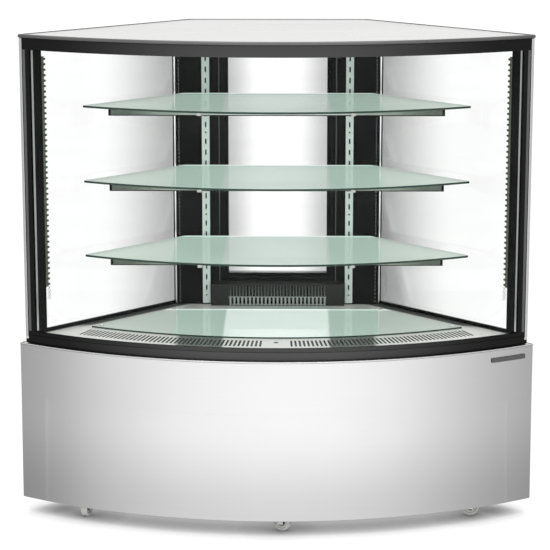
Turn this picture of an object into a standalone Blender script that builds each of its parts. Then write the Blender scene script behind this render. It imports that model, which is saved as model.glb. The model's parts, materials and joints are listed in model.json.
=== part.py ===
"""Refrigerated bakery display case for a 90 degree outside corner.

A steel base with castors carries a glass case with a convex curved front, two flat sides at
45 degrees and a narrow service back with one hinged door. Everything is in metres, with +Z up, the
front facing -Y and the origin on the floor under the middle of the case.

The plan is laid out with "depth", measured back from the crown of the base front, so a point at a
given depth lies at y = depth - DEPTH / 2. A "gap" is how far a line is set in from the base: a front
gap from the curved front, a side gap from a 45 degree side.
"""

import math

import bmesh
import bpy
from mathutils import Matrix, Vector

COLLECTION = "bakery_display_case"
ROOT2 = math.sqrt(2)

# Overall size
HEIGHT = 1.338
DEPTH = 0.660
ARC_RADIUS = 1.328  # plan radius of the curved base front
SIDE_SUM = 0.9125  # x + depth anywhere on the right side of the base
ARC_SEGMENTS = 24
HIDDEN_SEGMENTS = 12  # for curved pieces that are out of sight
FIT = 0.0003  # clearance between pieces that touch
SHEET = 0.002  # sheet metal

# Levels above the floor
SKIRT_LOW = 0.041
FLOOR_LOW = 0.070
PAN_FLOOR = FLOOR_LOW + 0.003
BASE_TOP = 0.486
DECK_TOP = BASE_TOP + 0.018
RAIL_TOP = BASE_TOP + 0.024
SIDE_RAIL_TOP = BASE_TOP + 0.030
GLASS_TOP = HEIGHT - 0.010
TOP_FRAME_LOW = GLASS_TOP - 0.031
TUB_LOW = 0.346
TUB_FLOOR = 0.373

# Base
FLANGE = 0.020
FLANGE_THICKNESS = 0.0025
PANEL_BACK = 0.6565  # outer face of the rear service panels
SERVICE_HALF = 0.2555  # half the width of those panels
LEDGE_HALF = 0.222
GRILLE_LOW = 0.050
GRILLE_TOP = 0.3255
LOUVRE_LOW = 0.150
LOUVRE_PITCH = 0.017
LOUVRE_ROWS = 9

# Drip tray
TRAY_LEFT = -0.205
TRAY_RIGHT = -0.015
TRAY_LOW = 0.0935
TRAY_HIGH = 0.118
TRAY_FRONT = 0.400
TRAY_FACE = 0.0035  # how far the tray's face laps past its walls

# Rear controls
CONTROLS_Z = 0.405
CONTROLLER_X = -0.1225
CONTROLLER_HALF = (0.040, 0.020)
BUTTONS = {"up_button": 0.010, "down_button": 0.024}  # x from the middle of the controller
BUTTON_DROP = 0.014
BUTTON_HALF = 0.0036
BUTTON_GAP = 0.0004
SWITCH_X = 0.070
SWITCH_PIVOT = 0.6545
SWITCH_TILT = math.radians(7)
GLAND_X = 0.170
GLAND_HOLE = 0.0105

# Refrigeration
COIL_HALF = 0.250
COIL_FRONT = 0.430
COIL_BACK = 0.500
EVAPORATOR_FAN_Z = TUB_FLOOR + 0.045
CONDENSER_LEFT = 0.005
CONDENSER_RIGHT = 0.225
CONDENSER_TOP = 0.288
CONDENSER_FRONT = 0.590
CONDENSER_BACK = 0.635
SHROUD_FRONT = 0.548
CONDENSER_FAN_Z = 0.182
COMPRESSOR_X = -0.130
COMPRESSOR_DEPTH = 0.290
PIPE_X = 0.110
PIPE_DEPTH = 0.350

# Glass case
GLASS_GAP = 0.009  # front glass behind the base front
CASE_GAP = 0.0138  # case side inside the base side
TRIM_GAP = 0.01025  # side edge of the top inside the base side
FRONT_GLASS = 0.006
SIDE_GLASS = 0.005
RAIL_BACK = 0.032  # front gap of the back of the front bottom rail
SIDE_RAIL_BACK = 0.020
POST_DEPTH = 0.030
POST_INNER_GAP = 0.028
STRIP_LOW = BASE_TOP + 0.111
STRIP_LENGTH = 0.676
WALL_FRONT = 0.589
WALL_BACK = 0.639
TOP_FRAME_BACK = 0.565

# Door
OPENING_HALF = 0.156
OPENING_LOW = BASE_TOP + 0.0965
OPENING_HIGH = TOP_FRAME_LOW - 0.0115
REBATE = 0.014
REBATE_FRONT = WALL_FRONT + 0.0035
DOOR_CLEARANCE = 0.004
DOOR_FRONT = 0.603
DOOR_BACK = 0.631
DOOR_STILE = 0.0225
HINGE_INSET = 0.007
HINGE_RADIUS = 0.0035
GASKET_INSET = 0.003
GASKET_WIDTH = 0.007
HANDLE_LOW = 0.830
HANDLE_HIGH = 1.030
HANDLE_BACK = 0.656

# Shelves
STANDARD_X = 0.208
STANDARD_WIDTH = 0.022
STANDARD_FRONT = 0.577
SLOT_PITCH = 0.032
SLOTS_PER_GROUP = 7
FIRST_SLOT = 0.5563  # height of the middle of the lowest slot
GROUP_PITCH = 0.241
SCREW_DROP = 0.0225  # from a group's first slot down to its screw hole
SHELF_TOPS = {"lower": 0.715, "middle": 0.924, "upper": 1.133}
SHELF_THICKNESS = 0.006
SHELF_FRONT_GAP = 0.165
SHELF_SIDE_GAP = 0.0583
SHELF_BACK = 0.560
SHELF_BAR_DEPTH = 0.285
SHELF_BAR_HALF = 0.460
ARM_FRONT = 0.192
HOOK_DROPS = (0.024, 0.056)  # each hook below the arm's top

# Deck
DECK_SLOTS = 45  # on each side of the plain middle
DECK_SLOT_STEP = math.radians(0.55)
DECK_FIRST_ANGLE = math.radians(2.0)
DECK_SLOT_WIDTH = 0.0058
DECK_SLOT_GAPS = (0.097, 0.158)
FINGER_HOLE_GAP = 0.139
DECK_GLASS_FRONT_GAP = 0.178
DECK_GLASS_SIDE_GAP = 0.0654
DECK_GLASS_BACK = 0.505
DUCT_FRONT = 0.566
DUCT_HALF = 0.195

# Castors: x and depth of each swivel, and the direction that its wheel trails in, in degrees
CASTORS = {
    "front_left": (-0.520, 0.185, -108),
    "front_centre": (0.0, 0.062, -25),
    "front_right": (0.520, 0.185, 0),
    "rear_left": (-0.170, 0.590, 60),
    "rear_right": (0.170, 0.590, 120),
}
WHEEL_HEIGHT = 0.025  # axle above the floor
WHEEL_FACETS = 20
WHEEL_HALF = 0.009
CASTOR_TRAIL = 0.020
AXLE_RADIUS = 0.004

# Name: colour, roughness, metallic
FINISHES = {
    "brushed_steel": ((0.62, 0.62, 0.61), 0.34, 1.0),
    "polished_steel": ((0.66, 0.67, 0.66), 0.18, 1.0),
    "galvanised_steel": ((0.50, 0.52, 0.53), 0.50, 1.0),
    "black_metal": ((0.018, 0.018, 0.020), 0.35, 0.0),
    "dark_trim": ((0.10, 0.10, 0.105), 0.35, 0.0),
    "top_laminate": ((0.80, 0.80, 0.80), 0.45, 0.0),
    "clear_glass": ((0.86, 0.94, 0.92), 0.03, 0.0),
    "shelf_glass": ((0.62, 0.82, 0.76), 0.05, 0.0),
    "standard_paint": ((0.72, 0.78, 0.75), 0.40, 0.0),
    "light_strip": ((0.95, 0.95, 0.85), 0.40, 0.0),
    "insulation": ((0.85, 0.85, 0.83), 0.70, 0.0),
    "aluminium": ((0.72, 0.73, 0.74), 0.40, 1.0),
    "copper": ((0.72, 0.36, 0.20), 0.35, 1.0),
    "compressor_black": ((0.03, 0.03, 0.032), 0.45, 0.0),
    "black_plastic": ((0.03, 0.03, 0.03), 0.50, 0.0),
    "rubber_seal": ((0.05, 0.05, 0.05), 0.80, 0.0),
    "nylon": ((0.62, 0.62, 0.58), 0.50, 0.0),
}


# ---- Scene and finishes ----


def clear_scene():
    for item in list(bpy.data.objects):
        bpy.data.objects.remove(item, do_unlink=True)


def new_collection(name):
    collection = bpy.data.collections.new(name)
    bpy.context.scene.collection.children.link(collection)
    return collection


def finish_material(name):
    """The material of this finish, made the first time that it is asked for."""
    found = bpy.data.materials.get(name)
    if found:
        return found
    colour, roughness, metallic = FINISHES[name]
    material = bpy.data.materials.new(name)
    material.use_nodes = True
    shader = material.node_tree.nodes["Principled BSDF"]
    shader.inputs["Base Color"].default_value = (*colour, 1.0)
    shader.inputs["Roughness"].default_value = roughness
    shader.inputs["Metallic"].default_value = metallic
    if name.endswith("glass"):
        shader.inputs["Transmission Weight"].default_value = 0.9
    return material


# ---- Solids ----


def add_object(name, mesh, finish):
    obj = bpy.data.objects.new(name, mesh)
    PARTS.objects.link(obj)
    mesh.materials.clear()
    mesh.materials.append(finish_material(finish))
    mesh.shade_smooth()
    mesh.set_sharp_from_angle(angle=math.radians(30))
    return obj


def prism(name, loops, thickness, place, finish="black_metal"):
    """A flat outline, with any further loops as holes in it, extruded from place along its +Z."""
    curve = bpy.data.curves.new(name, "CURVE")
    curve.dimensions = "2D"
    curve.fill_mode = "BOTH"
    curve.extrude = thickness / 2
    for loop in loops:
        spline = curve.splines.new("POLY")
        spline.points.add(len(loop) - 1)
        for point, (u, v) in zip(spline.points, loop):
            point.co = (u, v, 0, 1)
        spline.use_cyclic_u = True
    drawn = bpy.data.objects.new(name, curve)
    bpy.context.scene.collection.objects.link(drawn)
    bpy.context.view_layer.update()
    graph = bpy.context.evaluated_depsgraph_get()
    mesh = bpy.data.meshes.new_from_object(drawn.evaluated_get(graph))
    bpy.data.objects.remove(drawn)
    bpy.data.curves.remove(curve)
    shape = bmesh.new()
    shape.from_mesh(mesh)
    bmesh.ops.remove_doubles(shape, verts=shape.verts, dist=1e-6)
    bmesh.ops.recalc_face_normals(shape, faces=shape.faces)
    bmesh.ops.translate(shape, vec=(0, 0, thickness / 2), verts=shape.verts)
    shape.to_mesh(mesh)
    shape.free()
    mesh.name = name
    obj = add_object(name, mesh, finish)
    obj.matrix_world = place
    return obj


def turned(name, profile, steps, place, finish, closed=False):
    """A profile of (radius, height), running down its outer side, turned about place's Z axis."""
    mesh = bpy.data.meshes.new(name)
    shape = bmesh.new()
    points = [shape.verts.new((radius, 0, height)) for radius, height in profile]
    for first, second in zip(points, points[1:]):
        shape.edges.new((first, second))
    if closed:
        shape.edges.new((points[-1], points[0]))
    shape.to_mesh(mesh)
    shape.free()
    obj = add_object(name, mesh, finish)
    obj.matrix_world = place
    screw = obj.modifiers.new("turn", "SCREW")
    screw.axis = "Z"
    screw.steps = screw.render_steps = steps
    screw.use_merge_vertices = True
    screw.merge_threshold = 1e-5
    return obj


def cylinder(name, radius, length, place, finish="black_metal", segments=16):
    """A cylinder standing on place's origin along its +Z."""
    mesh = bpy.data.meshes.new(name)
    shape = bmesh.new()
    bmesh.ops.create_cone(shape, cap_ends=True, segments=segments, radius1=radius,
                          radius2=radius, depth=length)
    bmesh.ops.translate(shape, vec=(0, 0, length / 2), verts=shape.verts)
    shape.to_mesh(mesh)
    shape.free()
    obj = add_object(name, mesh, finish)
    obj.matrix_world = place
    return obj


def box(name, low, high, finish="black_metal"):
    """A box between two corners given as (x, depth, height)."""
    mesh = bpy.data.meshes.new(name)
    shape = bmesh.new()
    bmesh.ops.create_cube(shape, size=1)
    size = Vector(high) - Vector(low)
    bmesh.ops.scale(shape, vec=size, verts=shape.verts)
    shape.to_mesh(mesh)
    shape.free()
    obj = add_object(name, mesh, finish)
    obj.location = place_at(*((Vector(low) + Vector(high)) / 2)).translation
    return obj


def unit_box(name, place):
    """A one metre cube carried to its place, size and slant by the matrix."""
    mesh = bpy.data.meshes.new(name)
    shape = bmesh.new()
    bmesh.ops.create_cube(shape, size=1)
    bmesh.ops.transform(shape, matrix=place, verts=shape.verts)
    shape.to_mesh(mesh)
    shape.free()
    return add_object(name, mesh, "black_metal")


def combine(target, tools, operation="UNION"):
    """Joins the tools to the target, or cuts them from it, and keeps the result as its mesh."""
    for tool in tools:
        modifier = target.modifiers.new(operation.lower(), "BOOLEAN")
        modifier.operation = operation
        modifier.solver = "EXACT"
        modifier.object = tool
    bpy.context.view_layer.update()
    graph = bpy.context.evaluated_depsgraph_get()
    mesh = bpy.data.meshes.new_from_object(target.evaluated_get(graph))
    target.modifiers.clear()
    target.data = mesh
    for tool in tools:
        bpy.data.objects.remove(tool, do_unlink=True)
    return target


def cut(target, tools):
    return combine(target, tools, "DIFFERENCE")


# ---- Places ----


def place_at(x, depth, height):
    return Matrix.Translation((x, depth - DEPTH / 2, height))


def level(height):
    """The plan at this height: an outline's (x, depth) lie flat, and it is extruded upwards."""
    return place_at(0, 0, height)


def upright(depth):
    """A wall at this depth: an outline's (x, height) stand up, and it is extruded backwards."""
    turn = Matrix(((1, 0, 0, 0), (0, 0, 1, 0), (0, 1, 0, 0), (0, 0, 0, 1)))
    return place_at(0, depth, 0) @ turn


def sideways(x):
    """A plate across the case: an outline's (depth, height), extruded towards +X from x."""
    turn = Matrix(((0, 0, 1, 0), (1, 0, 0, 0), (0, 1, 0, 0), (0, 0, 0, 1)))
    return place_at(x, 0, 0) @ turn


def rearward(x, depth, height):
    """A turned piece whose axis runs backwards from this point."""
    return place_at(x, depth, height) @ Matrix.Rotation(-math.pi / 2, 4, "X")


# ---- Outlines ----


def rectangle(left, right, low, high):
    return [(left, low), (right, low), (right, high), (left, high)]


def circle(x, y, radius, segments):
    turns = [2 * math.pi * step / segments for step in range(segments)]
    return [(x + radius * math.cos(turn), y + radius * math.sin(turn)) for turn in turns]


def side_x(gap, depth):
    """x of the right side at this depth, set in by the gap."""
    return SIDE_SUM - gap * ROOT2 - depth


def corner(front_gap, side_gap):
    """(x, depth) where the front arc meets the right side, each set in by its gap."""
    radius = ARC_RADIUS - front_gap
    side_sum = SIDE_SUM - side_gap * ROOT2
    middle = (side_sum + ARC_RADIUS) / 2
    rest = (side_sum**2 + ARC_RADIUS**2 - radius**2) / 2
    depth = middle - math.sqrt(middle**2 - rest)
    return side_sum - depth, depth


def front_arc(front_gap, side_gap, segments=ARC_SEGMENTS):
    """Points along the curved front, from the left corner to the right one."""
    x, depth = corner(front_gap, side_gap)
    half = math.atan2(x, ARC_RADIUS - depth)
    radius = ARC_RADIUS - front_gap
    turns = [half * (2 * step / segments - 1) for step in range(segments + 1)]
    return [(radius * math.sin(turn), ARC_RADIUS - radius * math.cos(turn)) for turn in turns]


def plan(front_gap, side_gap, back, segments=ARC_SEGMENTS):
    """The whole plan of the case, set in from its front and sides and ending at the depth back."""
    half = side_x(side_gap, back)
    return front_arc(front_gap, side_gap, segments) + [(half, back), (-half, back)]


def front_band(outer_gap, inner_gap, side_gap):
    """The strip between two front arcs, cut off along the sides."""
    return front_arc(outer_gap, side_gap) + front_arc(inner_gap, side_gap)[::-1]


def side_band(side, outer_gap, inner_gap, end, front_gap=None, start=None):
    """The strip along a side, from the front arc or from the depth start, back to the depth end."""
    if start is None:
        outer = corner(front_gap, outer_gap)
        inner = corner(front_gap, inner_gap)
    else:
        outer = (side_x(outer_gap, start), start)
        inner = (side_x(inner_gap, start), start)
    points = [outer, (side_x(outer_gap, end), end), (side_x(inner_gap, end), end), inner]
    return [(side * x, depth) for x, depth in points]


def radial_slot(angle, outer_gap, inner_gap, width):
    """A slot through the deck that points at the centre of the front arc."""
    along = Vector((math.sin(angle), -math.cos(angle)))
    across = Vector((math.cos(angle), math.sin(angle))) * width / 2
    outer = Vector((0, ARC_RADIUS)) + along * (ARC_RADIUS - outer_gap)
    inner = Vector((0, ARC_RADIUS)) + along * (ARC_RADIUS - inner_gap)
    corners = (outer - across, outer + across, inner + across, inner - across)
    return [tuple(point) for point in corners]


def row_of_slots(count, pitch, width, low, high):
    """Upright slots in a row, centred on the case."""
    first = -pitch * (count - 1) / 2
    centres = [first + pitch * step for step in range(count)]
    return [rectangle(x - width / 2, x + width / 2, low, high) for x in centres]


def comb(left, right, front, back, fins):
    """A finned block: a spine along its back, with fins that stand out of it to the front."""
    spine = front + (back - front) * 0.45
    pitch = (right - left) / (2 * fins - 1)
    points = [(left, back), (left, front)]
    for fin in range(fins - 1):
        x = left + pitch * (2 * fin + 1)
        points += [(x, front), (x, spine), (x + pitch, spine), (x + pitch, front)]
    return points + [(right, front), (right, back)]


# ---- Base ----


def make_base_panels():
    low_sheet = level(SKIRT_LOW)
    flange_place = level(BASE_TOP - FLANGE_THICKNESS)
    front = prism("front_panel", [front_band(0, SHEET, 0)], BASE_TOP - SKIRT_LOW, low_sheet,
                  "brushed_steel")
    lip = prism("lip", [front_band(SHEET / 2, FLANGE, SHEET)], FLANGE_THICKNESS, flange_place)
    combine(front, [lip])
    for side, word in ((-1, "left"), (1, "right")):
        sheet = side_band(side, 0, SHEET, PANEL_BACK - SHEET - FIT, front_gap=SHEET + FIT)
        panel = prism(f"{word}_side_panel", [sheet], BASE_TOP - SKIRT_LOW, low_sheet,
                      "brushed_steel")
        strip = side_band(side, SHEET / 2, FLANGE, PANEL_BACK - SHEET - FIT,
                          front_gap=FLANGE + FIT)
        combine(panel, [prism("lip", [strip], FLANGE_THICKNESS, flange_place)])


def make_floor_pan():
    inset = 2 * SHEET
    back = PANEL_BACK - SHEET - 2 * FIT
    outline = plan(inset, inset, back, HIDDEN_SEGMENTS)
    inner = plan(inset + SHEET, inset + SHEET, back - SHEET, HIDDEN_SEGMENTS)
    pan = prism("base_floor_pan", [outline], 0.003, level(FLOOR_LOW), "galvanised_steel")
    rim = prism("rim", [outline, inner], 0.018, level(FLOOR_LOW + 0.002))
    runners = [
        box("runner", (x - 0.005, 0.400, FLOOR_LOW + 0.002), (x + 0.005, 0.650, TRAY_LOW - FIT))
        for x in (TRAY_LEFT + 0.015, TRAY_RIGHT - 0.015)
    ]
    combine(pan, [rim] + runners)


def make_drip_tray():
    outer = rectangle(TRAY_LEFT, TRAY_RIGHT, TRAY_FRONT, PANEL_BACK - 0.002)
    inner = rectangle(TRAY_LEFT + SHEET, TRAY_RIGHT - SHEET, TRAY_FRONT + SHEET,
                      PANEL_BACK - 0.002 - SHEET)
    tray = prism("drip_tray", [outer], SHEET, level(TRAY_LOW), "galvanised_steel")
    walls = prism("walls", [outer, inner], TRAY_HIGH - TRAY_LOW - SHEET / 2,
                  level(TRAY_LOW + SHEET / 2))
    face = rectangle(TRAY_LEFT - TRAY_FACE, TRAY_RIGHT + TRAY_FACE, TRAY_LOW - 0.002,
                     TRAY_HIGH + 0.010)
    middle = (TRAY_LEFT + TRAY_RIGHT) / 2
    grip = rectangle(middle - 0.035, middle + 0.035, TRAY_HIGH - 0.0005, TRAY_HIGH + 0.0065)
    front = prism("face", [face, grip], 0.003, upright(PANEL_BACK - 0.003))
    combine(tray, [walls, front])


def make_rear_grille():
    outline = rectangle(-SERVICE_HALF, SERVICE_HALF, GRILLE_LOW, GRILLE_TOP)
    tray_hole = rectangle(TRAY_LEFT - 0.005, TRAY_RIGHT + 0.005, TRAY_LOW - 0.0035,
                          TRAY_HIGH + 0.0115)
    louvres = []
    for row in range(LOUVRE_ROWS):
        low = LOUVRE_LOW + LOUVRE_PITCH * row
        louvres += [rectangle(left, left + 0.190, low, low + 0.007) for left in (-0.215, 0.025)]
    prism("rear_grille", [outline, tray_hole] + louvres, SHEET, upright(PANEL_BACK - SHEET),
          "brushed_steel")


def make_control_panel():
    outline = rectangle(-SERVICE_HALF, SERVICE_HALF, GRILLE_TOP + FIT, BASE_TOP)
    window = rectangle(CONTROLLER_X - 0.036, CONTROLLER_X + 0.036, CONTROLS_Z - 0.016,
                       CONTROLS_Z + 0.016)
    switch_hole = rectangle(SWITCH_X - 0.0125, SWITCH_X + 0.0125, CONTROLS_Z - 0.0085,
                            CONTROLS_Z + 0.0085)
    gland_hole = circle(GLAND_X, CONTROLS_Z, GLAND_HOLE, 16)
    panel = prism("control_panel", [outline, window, switch_hole, gland_hole], SHEET,
                  upright(PANEL_BACK - SHEET), "brushed_steel")
    ledge = box("ledge", (-LEDGE_HALF, WALL_BACK - 0.015, BASE_TOP - FLANGE_THICKNESS),
                (LEDGE_HALF, PANEL_BACK - SHEET / 2, BASE_TOP))
    bezel = rectangle(SWITCH_X - 0.015, SWITCH_X + 0.015, CONTROLS_Z - 0.011,
                      CONTROLS_Z + 0.011)
    surround = prism("surround", [bezel, switch_hole], 0.0025, upright(PANEL_BACK - 0.001))
    combine(panel, [ledge, surround])


def make_controller():
    """The controller's face and body, with a pocket for each of its two buttons."""
    half_width, half_height = CONTROLLER_HALF
    back = DEPTH - 0.0005
    bezel = rectangle(CONTROLLER_X - half_width, CONTROLLER_X + half_width,
                      CONTROLS_Z - half_height, CONTROLS_Z + half_height)
    unit = prism("controller", [bezel], back - PANEL_BACK - FIT, upright(PANEL_BACK + FIT),
                 "black_plastic")
    inset = 0.0045
    body = box("body", (CONTROLLER_X - half_width + inset, 0.610, CONTROLS_Z - half_height + inset),
               (CONTROLLER_X + half_width - inset, PANEL_BACK + 0.001,
                CONTROLS_Z + half_height - inset))
    combine(unit, [body])
    half = BUTTON_HALF + BUTTON_GAP
    z = CONTROLS_Z - BUTTON_DROP
    pockets = []
    for offset in BUTTONS.values():
        x = CONTROLLER_X + offset
        pockets.append(box("pocket", (x - half, back - 0.0022, z - half),
                           (x + half, back + 0.002, z + half)))
    cut(unit, pockets)
    for name, offset in BUTTONS.items():
        x = CONTROLLER_X + offset
        box(name, (x - BUTTON_HALF, back - 0.0012, z - BUTTON_HALF),
            (x + BUTTON_HALF, DEPTH, z + BUTTON_HALF), "aluminium")


def make_power_switch():
    rocker = [(-0.006, -0.0065), (0.0035, -0.0075), (0.0022, 0.0), (0.0035, 0.0075),
              (-0.006, 0.0065)]
    turn = Matrix.Rotation(SWITCH_TILT, 2)
    outline = []
    for along, height in rocker:
        point = turn @ Vector((along, height))
        outline.append((SWITCH_PIVOT + point.x, CONTROLS_Z + point.y))
    prism("power_switch", [outline], 0.024, sideways(SWITCH_X - 0.012), "black_plastic")


def make_cord_gland():
    profile = [(0.0135, DEPTH - PANEL_BACK), (0.0135, FIT), (0.0098, FIT), (0.0098, -0.014),
               (0.0060, -0.014), (0.0060, DEPTH - PANEL_BACK)]
    turned("cord_gland", profile, 20, rearward(GLAND_X, PANEL_BACK, CONTROLS_Z), "black_plastic",
           closed=True)


# ---- Refrigeration ----


def make_well_liner():
    outline = plan(0.0335, 0.0335, 0.588, HIDDEN_SEGMENTS)
    hollow = plan(0.055, 0.055, 0.565, HIDDEN_SEGMENTS)
    tub = prism("well_liner", [outline], TUB_FLOOR - TUB_LOW, level(TUB_LOW), "insulation")
    walls = prism("walls", [outline, hollow], DECK_TOP - SHEET - FIT - TUB_FLOOR + 0.001,
                  level(TUB_FLOOR - 0.001))
    ring = [plan(0.004, 0.004, 0.654, HIDDEN_SEGMENTS),
            plan(0.035, 0.035, 0.5865, HIDDEN_SEGMENTS)]
    flange = prism("flange", ring, 0.004, level(BASE_TOP - FLANGE_THICKNESS - FIT - 0.004))
    combine(tub, [walls, flange])
    pipe_way = place_at(PIPE_X, PIPE_DEPTH, TUB_LOW - 0.03)
    cut(tub, [cylinder("hole", 0.010, 0.10, pipe_way, segments=12)])


def make_fan(name, x, depth, height, radius, blades, thickness):
    """An axial fan that turns about an axis running backwards, its hub starting at this depth."""
    place = rearward(x, depth, height)
    hub = cylinder(name, radius * 0.30, thickness, place, "black_plastic", segments=16)
    vanes = []
    for blade in range(blades):
        centre = Matrix.Translation((0, radius * 0.60, thickness / 2))
        spin = Matrix.Rotation(2 * math.pi * blade / blades, 4, "Z")
        pitch = Matrix.Rotation(math.radians(35), 4, "Y")
        size = Matrix.Diagonal((radius * 0.55, radius * 0.78, 0.002, 1))
        vanes.append(unit_box("vane", place @ spin @ centre @ pitch @ size))
    combine(hub, vanes)


def make_evaporator():
    fins = comb(-COIL_HALF, COIL_HALF, COIL_BACK, COIL_FRONT, 14)
    coil = prism("evaporator_coil", [fins], 0.080, level(TUB_FLOOR + FIT), "aluminium")
    motor = cylinder("motor", 0.016, 0.025, rearward(0, COIL_FRONT - 0.0175, EVAPORATOR_FAN_Z))
    combine(coil, [motor])
    make_fan("evaporator_fan", 0, COIL_FRONT - 0.040, EVAPORATOR_FAN_Z, 0.042, 5, 0.0215)


def make_condenser():
    middle = (CONDENSER_LEFT + CONDENSER_RIGHT) / 2
    fins = comb(CONDENSER_LEFT, CONDENSER_RIGHT, CONDENSER_FRONT, CONDENSER_BACK, 12)
    prism("condenser_coil", [fins], CONDENSER_TOP - PAN_FLOOR - FIT, level(PAN_FLOOR + FIT),
          "aluminium")
    outline = rectangle(CONDENSER_LEFT, CONDENSER_RIGHT, PAN_FLOOR + FIT, CONDENSER_TOP)
    inner = rectangle(CONDENSER_LEFT + SHEET, CONDENSER_RIGHT - SHEET, PAN_FLOOR + FIT + SHEET,
                      CONDENSER_TOP - SHEET)
    shroud = prism("fan_shroud", [outline, circle(middle, CONDENSER_FAN_Z, 0.088, 24)], SHEET,
                   upright(SHROUD_FRONT), "galvanised_steel")
    walls = prism("walls", [outline, inner], 0.0405, upright(SHROUD_FRONT + SHEET / 2))
    strut_front = SHROUD_FRONT + 0.026
    strut = box("strut", (CONDENSER_LEFT + 0.001, strut_front, CONDENSER_FAN_Z - 0.009),
                (CONDENSER_RIGHT - 0.001, strut_front + 0.004, CONDENSER_FAN_Z + 0.009))
    motor = cylinder("motor", 0.022, 0.022, rearward(middle, strut_front - 0.0075, CONDENSER_FAN_Z))
    combine(shroud, [walls, strut, motor])
    make_fan("condenser_fan", middle, SHROUD_FRONT - 0.006, CONDENSER_FAN_Z, 0.082, 5, 0.024)


def make_compressor():
    low = PAN_FLOOR + 0.0043
    profile = [(0.0, low + 0.190), (0.030, low + 0.186), (0.056, low + 0.168),
               (0.068, low + 0.135), (0.072, low + 0.080), (0.072, low + 0.045),
               (0.060, low + 0.015), (0.040, low), (0.0, low)]
    can = turned("compressor", profile, 20, place_at(COMPRESSOR_X, COMPRESSOR_DEPTH, 0),
                 "compressor_black")
    foot = box("foot", (COMPRESSOR_X - 0.085, COMPRESSOR_DEPTH - 0.060, PAN_FLOOR + FIT),
               (COMPRESSOR_X + 0.085, COMPRESSOR_DEPTH + 0.060, low + 0.002))
    combine(can, [foot])


def make_refrigerant_pipe():
    """One copper line, from beside the compressor up through the tub floor to the coil."""
    start = COMPRESSOR_X + 0.0735
    riser = start + 0.058
    top = TUB_FLOOR + 0.065
    route = [
        (start, COMPRESSOR_DEPTH, 0.150), (start + 0.030, COMPRESSOR_DEPTH, 0.150),
        (start + 0.050, COMPRESSOR_DEPTH, 0.158), (riser, COMPRESSOR_DEPTH, 0.178),
        (riser, COMPRESSOR_DEPTH, TUB_LOW - 0.078),
        (riser + 0.008, COMPRESSOR_DEPTH + 0.010, TUB_LOW - 0.056),
        (PIPE_X - 0.020, PIPE_DEPTH - 0.010, TUB_LOW - 0.043),
        (PIPE_X - 0.004, PIPE_DEPTH, TUB_LOW - 0.030), (PIPE_X, PIPE_DEPTH, TUB_LOW - 0.008),
        (PIPE_X, PIPE_DEPTH, top - 0.020), (PIPE_X, PIPE_DEPTH + 0.008, top - 0.006),
        (PIPE_X, PIPE_DEPTH + 0.024, top), (PIPE_X, COIL_FRONT - 2 * FIT, top),
    ]
    curve = bpy.data.curves.new("refrigerant_pipe", "CURVE")
    curve.dimensions = "3D"
    curve.bevel_depth = 0.005
    curve.bevel_resolution = 2
    curve.use_fill_caps = True
    spline = curve.splines.new("POLY")
    spline.points.add(len(route) - 1)
    for point, (x, depth, height) in zip(spline.points, route):
        point.co = (x, depth - DEPTH / 2, height, 1)
    curve.materials.append(finish_material("copper"))
    PARTS.objects.link(bpy.data.objects.new("refrigerant_pipe", curve))


# ---- Glass case ----


def make_rails():
    low = BASE_TOP + FIT
    prism("bottom_rail", [front_band(GLASS_GAP, RAIL_BACK, CASE_GAP)], RAIL_TOP - low, level(low))
    for side, word in ((-1, "left"), (1, "right")):
        strip = side_band(side, CASE_GAP, SIDE_RAIL_BACK, WALL_FRONT - FIT,
                          front_gap=RAIL_BACK + FIT)
        prism(f"{word}_bottom_rail", [strip], SIDE_RAIL_TOP - low, level(low))


def post_back():
    """Depth of the back of the front posts."""
    return corner(GLASS_GAP + FRONT_GLASS, CASE_GAP)[1] + POST_DEPTH


def make_glazing():
    front_low = RAIL_TOP + FIT
    prism("front_glass", [front_band(GLASS_GAP, GLASS_GAP + FRONT_GLASS, CASE_GAP)],
          GLASS_TOP - front_low, level(front_low), "clear_glass")
    low = SIDE_RAIL_TOP + FIT
    for side, word in ((-1, "left"), (1, "right")):
        strip = side_band(side, CASE_GAP, CASE_GAP + SIDE_GLASS, WALL_FRONT - FIT,
                          start=post_back() + FIT)
        prism(f"{word}_side_glass", [strip], GLASS_TOP - low, level(low), "clear_glass")


def make_front_posts():
    low = SIDE_RAIL_TOP + FIT
    for side, word in ((-1, "left"), (1, "right")):
        section = side_band(side, CASE_GAP, POST_INNER_GAP, post_back(),
                            front_gap=GLASS_GAP + FRONT_GLASS + FIT)
        prism(f"{word}_front_post", [section], TOP_FRAME_LOW - FIT - low, level(low))
        start = post_back() + 2 * FIT
        lens = side_band(side, CASE_GAP + SIDE_GLASS + FIT, CASE_GAP + SIDE_GLASS + 0.0055,
                         start + 0.012, start=start)
        prism(f"{word}_led_strip", [lens], STRIP_LENGTH, level(STRIP_LOW), "light_strip")


def make_rear_frame():
    """Pillars, header and sill in one welded frame, its outer edges following the case sides."""
    half = side_x(CASE_GAP, WALL_FRONT)
    outline = rectangle(-half, half, BASE_TOP + FIT, GLASS_TOP)
    opening = rectangle(-OPENING_HALF, OPENING_HALF, OPENING_LOW, OPENING_HIGH)
    frame = prism("rear_frame", [outline, opening], WALL_BACK - WALL_FRONT, upright(WALL_FRONT))
    for vertex in frame.data.vertices:
        place = frame.matrix_world @ vertex.co
        if abs(place.x) > half - 0.001 and place.y > WALL_BACK - 0.001 - DEPTH / 2:
            vertex.co.x = math.copysign(side_x(CASE_GAP, WALL_BACK), place.x)
    rebate = box("rebate", (-OPENING_HALF - REBATE, REBATE_FRONT, OPENING_LOW - REBATE),
                 (OPENING_HALF + REBATE, WALL_BACK + 0.010, OPENING_HIGH + REBATE))
    cut(frame, [rebate])


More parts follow.
